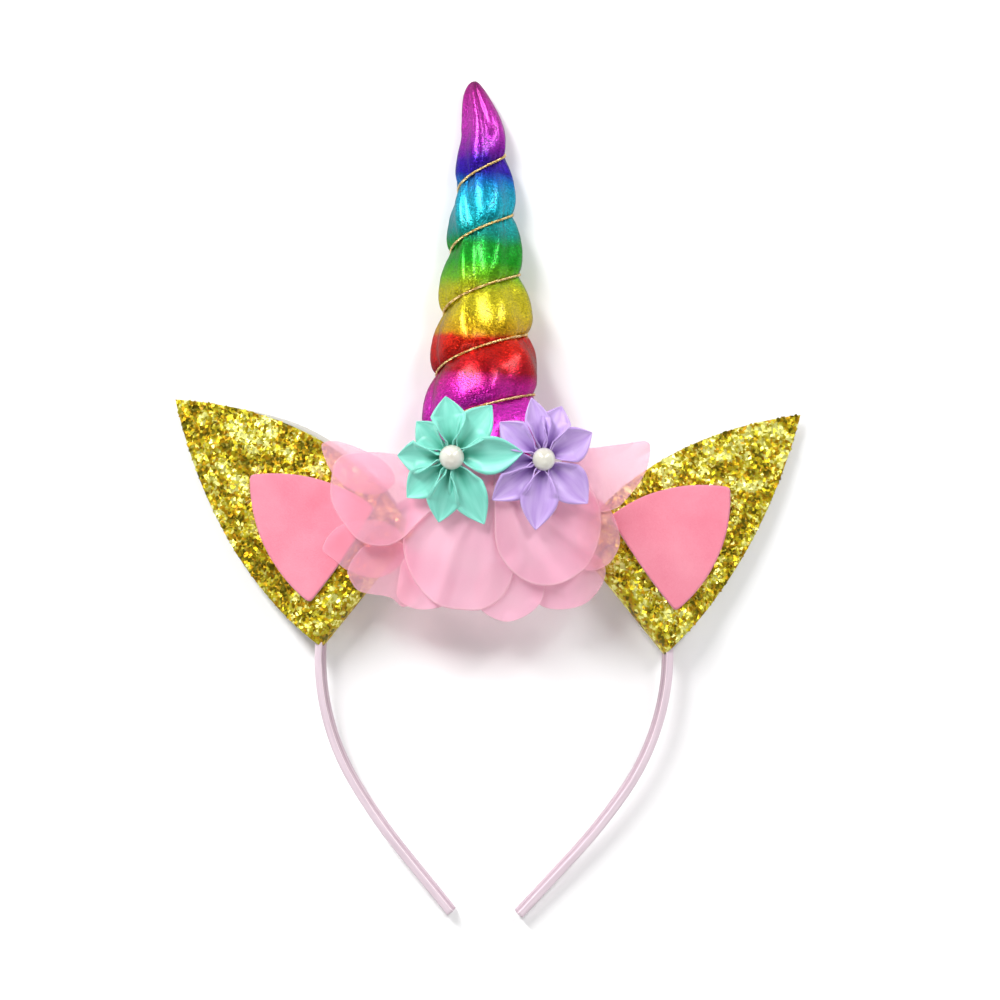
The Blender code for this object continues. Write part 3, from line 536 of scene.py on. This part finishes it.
def earPoint(each, u, v):
    # v runs from the front layer's tip round the fold to the back layer's tip
    middle, out, along = earWays(each)
    length = ear["length"] * each["length"]
    front = v < 0.5
    away = abs(2.0 * v - 1.0)
    if away < ear["bend"]:
        arc = away / ear["bend"] * math.pi / 2.0
        reach, swell = ear["roundFold"] * (1.0 - math.cos(arc)), math.sin(arc)
    else:
        reach = ear["roundFold"] + (length - ear["roundFold"]) * ((away - ear["bend"]) / (1.0 - ear["bend"]))
        swell = 1.0
    t = min(reach / length, 1.0)
    near, far = earEdges(each, t)
    if not front:      # the back layer stands out a little along the upper edge
        far += each["show"] * smoothStep(t * 4.0) * smoothStep((0.85 - t) * 3.0)
    spot = middle + out * reach + along * (near + (far - near) * u)
    half = (earHalf(*spot) - ear["cloth"] / 2.0) * swell
    ripple = ear["ripple"] * noise.noise(Vector((spot.x * 60.0, 2.0 if front else 9.0, spot.y * 60.0)))
    return Vector((spot.x, leanBack(*spot) + (-half if front else half) + ripple * swell, spot.y))


def goldToneWithPaintedGlint(tree, single):
    # single is a random value for each flake; the ramp runs from deep olive, painted shade, to pale yellow, a
    # painted glint, for flakes turned away from or towards a light
    where = addNode(tree, "TexCoord").outputs["Object"]
    clump = addNode(tree, "TexNoise", {"Scale": 170.0, "Detail": 2.0}, {"Vector": where})
    patch = addNode(tree, "MapRange", {"From Min": 0.3, "From Max": 0.7}, {"Value": clump})
    blend = addNode(tree, "Mix", {0: 0.45}, {2: patch, 3: single})
    ramp = addNode(tree, "ValToRGB", links={"Fac": blend})
    fillRamp(ramp.color_ramp, (
        (0.27, "#665E08"), (0.39, "#B8880C"), (0.50, "#B4A410"), (0.61, "#C8BE34"), (0.74, "#F0EE8C")))
    return ramp.outputs["Color"]


def makeGlitterGround():
    # glitter cloth: flakes set in clear binder, so every cell is a tiny mirror at its own tilt
    material, tree, shader = newMaterial("gold glitter cloth", Metallic=0.65, Roughness=0.40)
    where = addNode(tree, "TexCoord").outputs["Object"]
    cells = addNode(tree, "TexVoronoi", {"Scale": 1000.0}, {"Vector": where})
    parts = addNode(tree, "SeparateColor", links={0: cells.outputs["Color"]})
    # each cell gets a random colour from the same ramp: painted glints and painted shade on top of the tilted
    # normals
    tree.links.new(goldToneWithPaintedGlint(tree, parts.outputs[0]), shader.inputs["Base Color"])
    spread = addNode(tree, "VectorMath", {1: (-0.5, -0.5, -0.5)}, {0: cells.outputs["Color"]})
    shape = addNode(tree, "NewGeometry")
    tilt = addNode(tree, "VectorMath", {1: (0.6, 0.6, 0.6)},
                   {0: spread, 2: shape.outputs["Normal"]}, operation="MULTIPLY_ADD")
    straight = addNode(tree, "VectorMath", links={0: tilt}, operation="NORMALIZE")
    tree.links.new(straight.outputs[0], shader.inputs["Normal"])
    return material


def makeFlakes():
    # cut polyester flakes a millimetre across: each painted at random from pale, a painted glint for a flake
    # facing a light, to deep gold, painted shade for one that does not
    material, tree, shader = newMaterial("gold glitter flakes", Metallic=0.84, Roughness=0.38)
    share = addNode(tree, "UVMap", uv_map="share")
    parts = addNode(tree, "SeparateXYZ", links={0: share})
    tree.links.new(goldToneWithPaintedGlint(tree, parts.outputs["X"]), shader.inputs["Base Color"])
    return material


def makeBacking():
    # knitted back of the glitter cloth: dull pale grey, seen as a thin line along the left ear
    material, tree, shader = newMaterial(
        "white knitted backing", Base_Color=hexColour("#B6B4AC"), Roughness=0.9)
    where = addNode(tree, "TexCoord").outputs["Object"]
    knit = addNode(tree, "TexNoise", {"Scale": 1600.0}, {"Vector": where})
    bump = addNode(tree, "Bump", {"Strength": 0.3, "Distance": 0.0002}, {"Height": knit})
    tree.links.new(bump.outputs["Normal"], shader.inputs["Normal"])
    return material


glitterGround, glitterFlakes = makeGlitterGround(), makeFlakes()
backing = makeBacking()
pinkFelt = makeFelt("pink wool felt", "#DF889A", "#D8788C")
flake = {
    "cell": 0.00134, "size": 0.00098, "tilt": 24.0, "lift": 0.00012, "edge": 0.0004, "layers": 4,
    "across": 72, "astray": 0.45,
}


def strewFlakes(each):
    # loose square flakes over both faces of an ear, from grids whose cells are split apart
    middle, out, along = earWays(each)
    length = ear["length"] * each["length"]
    bm = bmesh.new()
    for layer in range(flake["layers"]):
        face = -1.0 if layer % 2 else 1.0
        sheetMesh = bmesh.new()
        shareMap = sheetMesh.loops.layers.uv.new("share")
        bmesh.ops.create_grid(
            sheetMesh, x_segments=flake["across"], y_segments=flake["across"],
            size=flake["across"] * flake["cell"] / 2.0, matrix=Matrix.Rotation(0.5 + 0.9 * layer, 4, "Z"))
        bmesh.ops.split_edges(sheetMesh, edges=sheetMesh.edges)
        lost = []
        for cell in sheetMesh.faces:
            centre = cell.calc_center_median()
            flatSpot = Vector((centre.x + length / 2.0, centre.y + 0.005))
            astray = Vector((random.uniform(-1, 1), random.uniform(-1, 1)))
            flatSpot += astray * flake["cell"] * flake["astray"]
            t = flatSpot.x / length
            near, far = earEdges(each, min(max(t, 0.0), 1.0))
            inside = near + flake["edge"] < flatSpot.y < far - flake["edge"]
            if not (ear["roundFold"] * 0.7 / length < t < 0.99 and inside):
                lost.append(cell)
                continue
            spot = middle + out * flatSpot.x + along * flatSpot.y
            half = earHalf(*spot) + flake["lift"]
            reachShare = min(flatSpot.x / ear["roundFold"], 1.0)
            half *= math.sin(math.acos(1.0 - reachShare))
            ripple = ear["ripple"] * noise.noise(
                Vector((spot.x * 60.0, 9.0 if face > 0 else 2.0, spot.y * 60.0)))
            place = Vector((spot.x, leanBack(*spot) + face * half + ripple, spot.y))
            turn = Matrix.Rotation(random.uniform(0.0, math.pi), 3, "Y")
            lean = math.radians(flake["tilt"])
            slant = Matrix.Rotation(random.gauss(0.0, lean * 0.6), 3, "X") @ Matrix.Rotation(
                random.gauss(0.0, lean * 0.6), 3, "Z")
            size = flake["size"] * random.uniform(0.65, 1.1)
            tone = (random.random(), random.random())
            for loop in cell.loops:
                loop[shareMap].uv = tone
            for vert in cell.verts:
                way = (vert.co - centre).normalized()
                vert.co = place + slant @ turn @ Vector((way.x, 0.0, way.y)) * size
        bmesh.ops.delete(sheetMesh, geom=lost, context="FACES")
        loose = bpy.data.meshes.new("loose")
        sheetMesh.to_mesh(loose)
        sheetMesh.free()
        bm.from_mesh(loose)
        bpy.data.meshes.remove(loose)
    return bm


def softCorners(corners):
    # points round the felt's outline: three bowed sides with rounded corners
    centre = (corners[0] + corners[1] + corners[2]) / 3.0

    def rim(u):
        side, share = divmod(3.0 * (u % 1.0), 1.0)
        start, end = corners[int(side) % 3], corners[(int(side) + 1) % 3]
        across = Vector((end.y - start.y, start.x - end.x)).normalized()
        if across.dot(start - centre) < 0.0:
            across.negate()
        return start.lerp(end, share) + across * innerEar["bows"][int(side) % 3] * 4.0 * share * (1.0 - share)

    def softRim(u):
        spots = [rim(u + innerEar["softCorner"] * k / 3.0) for k in range(-3, 4)]
        return sum(spots, Vector((0.0, 0.0))) / len(spots)

    return centre, softRim


for each in ears:
    label = each["name"]
    earMesh = mappedGrid(44, 150, lambda u, v: earPoint(each, u, v), (0.06, 0.18), weld=1e-7)
    bmesh.ops.recalc_face_normals(earMesh, faces=earMesh.faces)
    fore = min(earMesh.faces, key=lambda face: face.calc_center_median().y)
    if fore.normal.y > 0.0:      # glitter outside, backing inside
        bmesh.ops.reverse_faces(earMesh, faces=earMesh.faces)
    earPiece = makePiece(earMesh, "glitterEar_" + label, [glitterGround, backing],
                         ["ear_" + label], faceOut=False)
    addWall(earPiece, ear["cloth"], backing=1)
    flakePiece = makePiece(strewFlakes(each), "glitterFlakes_" + label, [glitterFlakes],
                           faceOut=False)
    middle, out, along = earWays(each)
    length = ear["length"] * each["length"]
    corners = [middle + out * length * o + along * ear["fold"] * a for o, a in innerEar["corners"]]
    centre, softRim = softCorners(corners)

    def feltPoint(u, v):
        spot = centre.lerp(softRim(u), v)
        off = earHalf(*spot) + innerEar["glue"] + innerEar["wall"] / 2.0
        swell = 0.00035 * noise.noise(Vector((spot.x * 45.0, 5.0, spot.y * 45.0)))
        return Vector((spot.x, leanBack(*spot) - off + swell, spot.y))

    innerMesh = mappedGrid(120, 24, feltPoint, (0.12, 0.03), weld=1e-7)
    innerPiece = makePiece(innerMesh, "feltInner_" + label, [pinkFelt], ["ear_inner_" + label])
    addWall(innerPiece, innerEar["wall"])
print("ears done")

# Chiffon: thin round petals gathered round the foot of the horn
chiffon = {
    "wall": 0.00016, "step": 0.00078, "clearance": 0.0012, "domeX": 0.0500, "domeZ": 0.0560,
    "gatherZ": 0.0060, "level": 0.22, "fall": 0.95, "ruffles": 5, "ruffle": 0.0010, "layers": 10,
    "gathers": 15, "gather": 0.0012, "wave": 0.00045, "flutes": 6, "stiff": 0.7, "held": 0.55,
}
# Outlines in mm right of and above the crown's middle, from the front petal to the back one;
# grain is the way its threads run, flutter how far its rim stands off
petals = (
    {"name": "left_round", "grain": 20, "flutter": 1.1, "outline": (
        (-57, 60), (-57, 51), (-52, 42.5), (-46, 37), (-38, 36), (-32, 39), (-27, 44.5), (-21, 50.5),
        (-18, 56.5), (-20.5, 62.5), (-29, 65.5), (-39.5, 67.5), (-51, 67), (-55.5, 64.5))},
    {"name": "centre_right", "grain": 85, "flutter": 1.0, "outline": (
        (-2, 57), (-1.5, 47), (-0.5, 37.5), (3.5, 30.5), (9.5, 26), (16, 24.5), (23, 26), (30, 31),
        (33.5, 38.5), (34.5, 46), (33, 54), (27, 61), (18, 66), (6, 67.5), (-1, 64))},
    {"name": "right_top", "grain": -15, "flutter": 1.2, "outline": (
        (19, 63.5), (25, 70), (33.5, 72), (42, 73.5), (49, 74.5), (50.5, 71), (49, 64), (45.5, 58),
        (39.5, 51.5), (31.5, 50), (23.5, 53.5))},
    {"name": "centre_left", "grain": 70, "flutter": 0.6, "outline": (
        (-31, 44.5), (-32, 36.5), (-29.5, 27.5), (-24.5, 20.5), (-19, 16.5), (-12, 15.3), (-4.5, 15.6),
        (1.5, 19.5), (5, 26), (6.5, 34.5), (7, 46), (5, 58), (-2, 66), (-14, 67), (-25, 62), (-30, 54))},
    {"name": "bottom_middle", "grain": 10, "flutter": 0.8, "outline": (
        (-7, 18.5), (-3, 14), (4, 11.8), (11, 14.5), (15.5, 19.5), (16, 26), (11, 31), (2.5, 32.5),
        (-5, 29), (-7.5, 23.5))},
    {"name": "right_middle", "grain": 40, "flutter": 0.5, "outline": (
        (20.5, 53.5), (30.5, 55), (37, 51.5), (40.5, 44.5), (41, 38.5), (37.5, 32.5), (31, 30),
        (23.5, 34), (18, 43.5))},
    {"name": "lower_left_behind", "grain": 60, "flutter": 0.4, "outline": (
        (-33, 26), (-33.5, 19), (-29, 15.5), (-23, 15), (-17, 17), (-14, 23.5), (-17.5, 32), (-25.5, 35),
        (-31.5, 32))},
    {"name": "lower_right", "grain": -30, "flutter": 0.5, "outline": (
        (12, 22.5), (15.5, 17.5), (23, 16.6), (30.5, 19), (35.5, 25), (36.5, 31.5), (31.5, 36.5),
        (22, 37.5), (14, 32))},
    {"name": "upper_left", "grain": 5, "flutter": 0.3, "outline": (
        (-61, 68.5), (-59, 70.7), (-54.5, 70.7), (-47.5, 68.5), (-39.5, 64.5), (-35.5, 58.5),
        (-40.5, 53.5), (-50, 54.5), (-57, 60))},
    {"name": "lower_left", "grain": 50, "flutter": 0.4, "outline": (
        (-50.5, 28), (-49, 23), (-45.5, 20), (-36, 18.6), (-31, 15.5), (-26, 19.5), (-25, 27.5),
        (-28.5, 35), (-36, 38), (-45, 36))},
    {"name": "far_left", "grain": 30, "flutter": 0.3, "outline": (
        (-55, 41.5), (-59.5, 34.5), (-55, 30.3), (-50, 27), (-41, 25), (-33.5, 29), (-31, 37), (-37, 43.5),
        (-46.5, 44.5))},
)
heart = Vector((horn["sideShift"] / 3.0, band["crownRadius"] + chiffon["gatherZ"]))


def drape(x, z, depth):
    # all the petals follow one puffed surface, each a little in front of the next
    across, up = (x - heart.x) / chiffon["domeX"], (z - heart.y) / chiffon["domeZ"]
    away, way = math.hypot(across, up), math.atan2(up, across)
    skin = chiffon["wall"] / 2.0 + chiffon["clearance"]
    inner = horn["forwardShift"] + horn["baseRadius"] * horn["depthShare"] + skin
    outer = earHalf(0.0, band["crownRadius"]) + innerEar["glue"] + innerEar["wall"] + skin
    puff = 1.0 - smoothStep((away - chiffon["level"]) / chiffon["fall"])
    ruffle = chiffon["ruffle"] * math.sin(chiffon["ruffles"] * way) * smoothStep(away)
    drift = noise.noise(Vector((x * 26.0, z * 26.0, 1.0)))
    crease = 0.5 + 0.5 * math.sin(chiffon["gathers"] * way + 5.0 * drift)
    gather = (crease ** 2.5 - 0.35) * smoothStep(away * 2.0) * (1.25 - 0.5 * smoothStep(away))
    front = outer + (inner - outer) * puff + ruffle + chiffon["gather"] * gather
    front += chiffon["step"] * (chiffon["layers"] - depth)
    return leanBack(x, z) * (1.0 - puff) - front


def throughPoints(points, u):
    # closed smooth line through the points
    count = len(points)
    at, share = divmod(u % 1.0 * count, 1.0)
    a, b, c, d = (Vector(points[(int(at) + k) % count]) for k in (-1, 0, 1, 2))
    bend = 2.0 * a - 5.0 * b + 4.0 * c - d
    turn = 3.0 * b - a - 3.0 * c + d
    return (2.0 * b + (c - a) * share + bend * share ** 2 + turn * share ** 3) / 2.0 / 1000.0


def petalPoint(each, depth, u, v):
    rim = throughPoints(each["outline"], u)
    spot = each["centre"].lerp(rim, v)
    loose = smoothStep((rim - heart).length / 0.030 - 0.35)      # the root is held, the far rim is free
    wave = chiffon["wave"] * noise.noise(Vector((spot.x * 70.0, depth * 3.0, spot.y * 70.0)))
    sway = 3.0 * noise.noise(Vector((u * 9.0, depth, 0.0)))
    flute = 0.5 + 0.5 * math.sin(2.0 * math.pi * chiffon["flutes"] * u + sway)
    free = smoothStep((v - chiffon["held"]) / 0.45)
    lift = chiffon["stiff"] * each["flutter"] / 1000.0 * flute * free * loose
    return Vector((spot.x, drape(spot.x, spot.y, depth) + wave * v - lift, spot.y))


def makeChiffon():
    # polyester chiffon: open weave of fine crepe yarn, half see-through, lit from behind as well,
    # with a rolled hem that reads as a paler line
    material, tree, shader = newMaterial(
        "pink polyester chiffon", Roughness=0.7, Sheen_Weight=0.3, Sheen_Roughness=0.4,
        Specular_IOR_Level=0.2)
    cloth = addNode(tree, "UVMap", uv_map="cloth")
    share = addNode(tree, "UVMap", uv_map="share")
    rimShare = addNode(tree, "SeparateXYZ", links={0: share})
    hem = addNode(tree, "MapRange", {"From Min": 0.955, "From Max": 0.985},
                  {"Value": rimShare.outputs["Y"]})
    where = addNode(tree, "TexCoord").outputs["Object"]
    cloud = addNode(tree, "TexNoise", {"Scale": 45.0, "Detail": 2.0}, {"Vector": where})
    ramp = addNode(tree, "ValToRGB", links={"Fac": cloud})
    fillRamp(ramp.color_ramp, ((0.35, "#FCCAE0"), (0.65, "#FFD4E6")))
    tint = addNode(tree, "Mix", {7: hexColour("#FFD8E6")}, {0: hem, 6: ramp}, data_type="RGBA")
    tree.links.new(tint.outputs[2], shader.inputs["Base Color"])
    # the yarns are drawn 0.36 mm apart, coarser than the real 0.2 mm, so that they show
    yarns = [
        addNode(tree, "TexWave", {"Scale": 0.314 / 0.00036, "Distortion": 0.8},
                {"Vector": cloth}, bands_direction=way)
        for way in "XY"]
    net = addNode(tree, "Math", links={0: yarns[0].outputs["Fac"], 1: yarns[1].outputs["Fac"]},
                  operation="MAXIMUM")
    # denser towards the middle line, where the petals are gathered
    place = addNode(tree, "SeparateXYZ", links={0: where})
    aside = addNode(tree, "Math", {1: -lying["place"][0]}, {0: place.outputs["X"]}, operation="ADD")
    off = addNode(tree, "Math", links={0: aside}, operation="ABSOLUTE")
    gathered = addNode(
        tree, "MapRange", {"From Min": 0.022, "From Max": 0.036, "To Min": 0.42, "To Max": 0.0},
        {"Value": off}, interpolation_type="SMOOTHSTEP")
    single = addNode(tree, "MapRange", {"To Min": 0.21, "To Max": 0.31}, {"Value": net})
    cover = addNode(tree, "Math", links={0: single, 1: gathered})
    dense = addNode(tree, "Math", {1: 0.02}, {0: hem, 2: cover}, operation="MULTIPLY_ADD")
    bump = addNode(tree, "Bump", {"Strength": 0.12, "Distance": 0.0001}, {"Height": net})
    tree.links.new(bump.outputs["Normal"], shader.inputs["Normal"])
    through = addNode(tree, "BsdfTranslucent", links={"Color": tint.outputs[2]})
    fabric = addNode(tree, "MixShader", {0: 0.20}, {1: shader.outputs[0], 2: through})
    clear = addNode(tree, "BsdfTransparent", {"Color": hexColour("#FFECF0")})
    whole = addNode(tree, "MixShader", links={0: dense, 1: clear, 2: fabric})
    tree.links.new(whole.outputs[0], tree.nodes["Material Output"].inputs["Surface"])
    return material


sheer = makeChiffon()
for depth, each in enumerate(petals):
    outline = [Vector(spot) for spot in each["outline"]]
    each["centre"] = sum(outline, Vector((0.0, 0.0))) / len(outline) / 1000.0
    turned = Matrix.Rotation(math.radians(each["grain"]), 2)

    def grainUv(u, v):
        return tuple(turned @ each["centre"].lerp(throughPoints(each["outline"], u), v))

    petalMesh = mappedGrid(168, 40, lambda u, v: petalPoint(each, depth, u, v), grainUv, weld=1e-7)
    piece = makePiece(petalMesh, "chiffonPetal_" + each["name"], [sheer],
                      ["chiffon_" + each["name"]])
    addWall(piece, chiffon["wall"])
print("chiffon done")

# Flowers: eight squares of satin ribbon each, folded into pointed petals round a pearl
flower = {
    "radius": 0.0210, "spread": 0.0300, "sideShift": -0.0012, "height": 0.0080, "wall": 0.00028,
    "root": 0.0020, "ribbon": 0.0072, "stand": 0.0012, "pearl": 0.0080, "roll": 0.80, "curlBack": 1.7,
}
# heading in degrees from the right, length and width in shares, lift of the tip and height in mm,
# lean of the cup to one side in degrees
ribbonColumns = ("heading", "length", "width", "lift", "up", "lean")
# crease is the colour of the painted shade laid along the middle of each petal near its root
flowers = (
    {"name": "mint", "side": -1, "pearl": 1.05, "slot": "mint_satin",
     "light": "#8CDBCC", "dark": "#6DC6B3", "crease": "#2F9C82", "petals": (
        (6, 1.15, 1.00, 3.0, 1.0, 8),
        (54, 1.04, 0.96, 0.4, 0.0, -8),
        (98, 0.97, 1.02, 0.2, 0.9, 14),
        (138, 0.80, 0.86, -0.6, -0.2, -12),
        (181, 0.88, 0.98, 0.0, 0.8, -8),
        (224, 0.99, 0.96, 0.2, 0.0, 10),
        (260, 1.08, 0.96, 0.3, 0.7, -6),
        (297, 1.20, 0.98, 1.0, 0.1, 12))},
    {"name": "lilac", "side": 1, "pearl": 0.97, "slot": "lilac_satin",
     "light": "#C8AEDF", "dark": "#AA88CC", "crease": "#7648A4", "petals": (
        (30, 0.90, 0.94, 0.3, 0.7, 8),
        (72, 0.90, 0.96, 0.0, 0.0, -10),
        (103, 1.00, 0.74, 0.6, 1.1, 16),
        (141, 0.90, 0.92, -1.0, -0.3, -8),
        (188, 0.86, 0.80, -1.4, -0.4, 6),
        (221, 1.04, 0.90, -1.0, 0.2, -12),
        (266, 1.14, 0.98, 0.2, 0.8, 6),
        (318, 1.02, 1.04, 0.2, 0.0, -8))},
)
for each in flowers:
    each["petals"] = [dict(zip(ribbonColumns, row)) for row in each["petals"]]


def flowerStand(each):
    x = flower["sideShift"] + each["side"] * flower["spread"] / 2.0
    z = band["crownRadius"] + flower["height"]
    reach = flower["radius"] / 4.0
    slopeX = (drape(x + reach, z, 0) - drape(x - reach, z, 0)) / (2.0 * reach)
    slopeZ = (drape(x, z + reach, 0) - drape(x, z - reach, 0)) / (2.0 * reach)
    normal = Vector((slopeX, -1.0, slopeZ)).normalized()
    right = Vector((1.0, slopeX, 0.0)).normalized()
    up = normal.cross(right).normalized()
    if up.z < 0.0:
        up.negate()
    return Vector((x, drape(x, z, 0), z)) + normal * flower["stand"], right, up, normal


def cupPoint(across, half, curl):
    # section of a ribbon cupped through curl radians each side, its rims rolled back outwards
    inner, share = half * flower["roll"], min(abs(across) / flower["roll"], 1.0)
    radius = inner / curl
    side, rise = radius * math.sin(curl * share), radius * (1.0 - math.cos(curl * share))
    if abs(across) > flower["roll"]:
        back = flower["curlBack"] * (abs(across) - flower["roll"]) / (1.0 - flower["roll"])
        lip = (half - inner) / flower["curlBack"]
        side += lip * (math.sin(curl) - math.sin(curl - back))
        rise += lip * (math.cos(curl - back) - math.cos(curl))
    return math.copysign(side, across), rise


def cupAngle(room, half):
    # how far a ribbon of that half width curls up to fit into the room it has
    low, high = 0.02, 2.5
    for _ in range(20):
        curl = (low + high) / 2.0
        if half * flower["roll"] * math.sin(min(curl, 1.57)) / curl > room:
            low = curl
        else:
            high = curl
    return curl


def ribbonPoint(each, index, u, v):
    centre, right, up, normal = flowerStand(each)
    petal = each["petals"][index]
    heading, tip = petal["heading"], flower["radius"] * petal["length"]
    angles = []
    for other in (each["petals"][index - 1], each["petals"][(index + 1) % 8]):
        between = abs(heading - other["heading"])
        angles.append(math.radians(min(between, 360 - between)) / 2.0)
    turn = math.radians(heading)
    radial = right * math.cos(turn) + up * math.sin(turn)
    tangent = up * math.cos(turn) - right * math.sin(turn)
    across = 2.0 * v - 1.0
    out = flower["root"] + (tip - flower["root"]) * u
    # widest past the middle, ending in the corner of the folded square
    taper = math.sin(math.pi / 2.0 * min((1.0 - u) / 0.50, 1.0)) ** 0.95
    half = max(flower["ribbon"] * petal["width"] * min(0.62 + 0.9 * u, 1.0) * taper, 0.00004)
    room = min(out * math.tan(sum(angles) / 2.0) * 0.94 - 0.00010, half * flower["roll"] * 0.93)
    side, rise = cupPoint(across, half, cupAngle(max(room, 0.00003), half))
    lean = math.radians(petal["lean"]) * smoothStep(u * 1.6)
    side, rise = side * math.cos(lean) - rise * math.sin(lean), side * math.sin(lean) + rise * math.cos(lean)
    arch = 0.0010 * math.sin(math.pi * min(u * 1.1, 1.0)) + petal["lift"] / 1000.0 * u * u
    soft = 0.00022 * noise.noise(Vector((out * 210.0, side * 210.0, index * 5.0 + each["side"])))
    lifted = rise + arch + soft + petal["up"] / 1000.0 * smoothStep(u * 2.0)
    return centre + radial * out + tangent * side + normal * lifted


def makePearl():
    # plastic pearl: ivory core under clear lacquer, with a faint warm bloom
    material, tree, shader = newMaterial(
        "ivory plastic pearl", Roughness=0.28, Coat_Weight=0.8, Coat_Roughness=0.06, Sheen_Weight=0.2,
        Specular_IOR_Level=0.6, IOR=1.53)
    where = addNode(tree, "TexCoord").outputs["Object"]
    bloom = addNode(tree, "TexNoise", {"Scale": 240.0, "Detail": 3.0}, {"Vector": where})
    ramp = addNode(tree, "ValToRGB", links={"Fac": bloom})
    fillRamp(ramp.color_ramp, ((0.35, "#C5C1B3"), (0.65, "#D5D3C9")))
    tree.links.new(ramp.outputs["Color"], shader.inputs["Base Color"])
    return material


pearlLacquer = makePearl()
for each in flowers:
    ribbonSatin = makeSatin(each["name"] + " satin ribbon", each["light"], each["dark"], sheen=0.3,
                            rough=0.38, crease=each["crease"])
    for index in range(8):
        petalMesh = mappedGrid(44, 40, lambda u, v: ribbonPoint(each, index, u, v), (0.020, 0.013), weld=1e-7)
        node = "%s_petal_%d" % (each["name"], index + 1)
        piece = makePiece(petalMesh, "ribbon_" + node, [ribbonSatin], [node])
        addWall(piece, flower["wall"])
    centre, right, up, normal = flowerStand(each)
    radius = flower["pearl"] / 2.0 * each["pearl"]
    pearlMesh = bmesh.new()
    bmesh.ops.create_uvsphere(pearlMesh, u_segments=48, v_segments=32, radius=radius)
    bmesh.ops.translate(pearlMesh, vec=centre + normal * radius * 0.85, verts=pearlMesh.verts)
    makePiece(pearlMesh, "pearl_" + each["name"], [pearlLacquer], [each["name"] + "_pearl"])
print("flowers done")

# Studio: white floor, two tall softboxes either side of the camera, a broad weak fill from below, and
# a sky that is dark overhead so that the foil has something dark to mirror
studio = {
    "distance": 3.0, "acrossPhoto": 0.340, "aim": (0.000184, 0.0, 0.05285), "roll": 2.0,
    "lights": (
        {"name": "left softbox", "from": (-1.15, -1.50, 1.45), "size": (0.42, 1.9), "power": 60.0},
        {"name": "right softbox", "from": (1.15, -1.50, 1.40), "size": (0.26, 1.9), "power": 32.0},
        {"name": "low fill", "from": (0.0, -2.2, -1.2), "size": (2.4, 1.4), "power": 20.0},
    ),
}
roll = math.radians(studio["roll"])
view = Matrix((
    (math.cos(roll), -math.sin(roll), 0.0, studio["aim"][0]),
    (0.0, 0.0, -1.0, -studio["distance"]),
    (math.sin(roll), math.cos(roll), 0.0, studio["aim"][2]),
    (0.0, 0.0, 0.0, 1.0),
))
cameraData = bpy.data.cameras.new("camera")
cameraData.sensor_width = 36.0
cameraData.lens = 36.0 * studio["distance"] / studio["acrossPhoto"]
cameraData.clip_end = 50.0
camera = bpy.data.objects.new("camera", cameraData)
camera.matrix_world = lay @ view
bpy.context.scene.collection.objects.link(camera)
bpy.context.scene.camera = camera

floorMesh = bpy.data.meshes.new("floor")
floorShape = bmesh.new()
bmesh.ops.create_grid(floorShape, x_segments=2, y_segments=2, size=6.0)
floorShape.to_mesh(floorMesh)
floorShape.free()
floor = bpy.data.objects.new("floor", floorMesh)
floor.location.z = -0.0002
bpy.context.scene.collection.objects.link(floor)
paper = newMaterial("white backdrop paper", Base_Color=hexColour("#F6F6F6"), Roughness=0.9,
                    Specular_IOR_Level=0.1)[0]
floorMesh.materials.append(paper)

for each in studio["lights"]:
    lamp = bpy.data.lights.new(each["name"], "AREA")
    lamp.shape = "RECTANGLE"
    lamp.size, lamp.size_y = each["size"]
    lamp.energy = each["power"]
    holder = bpy.data.objects.new(each["name"], lamp)
    place = lay @ Vector(each["from"])
    aim = lay @ Vector((0.0, 0.0, 0.05))
    facing = (aim - place).to_track_quat("-Z", "Y").to_matrix().to_4x4()
    holder.matrix_world = Matrix.Translation(place) @ facing
    bpy.context.scene.collection.objects.link(holder)

world = bpy.data.worlds.new("studio")
world.use_nodes = True
around = addNode(world.node_tree, "TexCoord")
level = addNode(world.node_tree, "SeparateXYZ", links={0: around.outputs["Generated"]})
dome = addNode(world.node_tree, "ValToRGB", links={"Fac": level.outputs["Z"]})
fillRamp(dome.color_ramp, ((0.25, "#FFFFFF"), (0.58, "#A4A4A4"), (0.82, "#2C2C2C")))
world.node_tree.links.new(dome.outputs["Color"], world.node_tree.nodes["Background"].inputs["Color"])
world.node_tree.nodes["Background"].inputs["Strength"].default_value = 0.66
bpy.context.scene.world = world
bpy.context.scene.view_settings.view_transform = "Standard"

print("studio done")
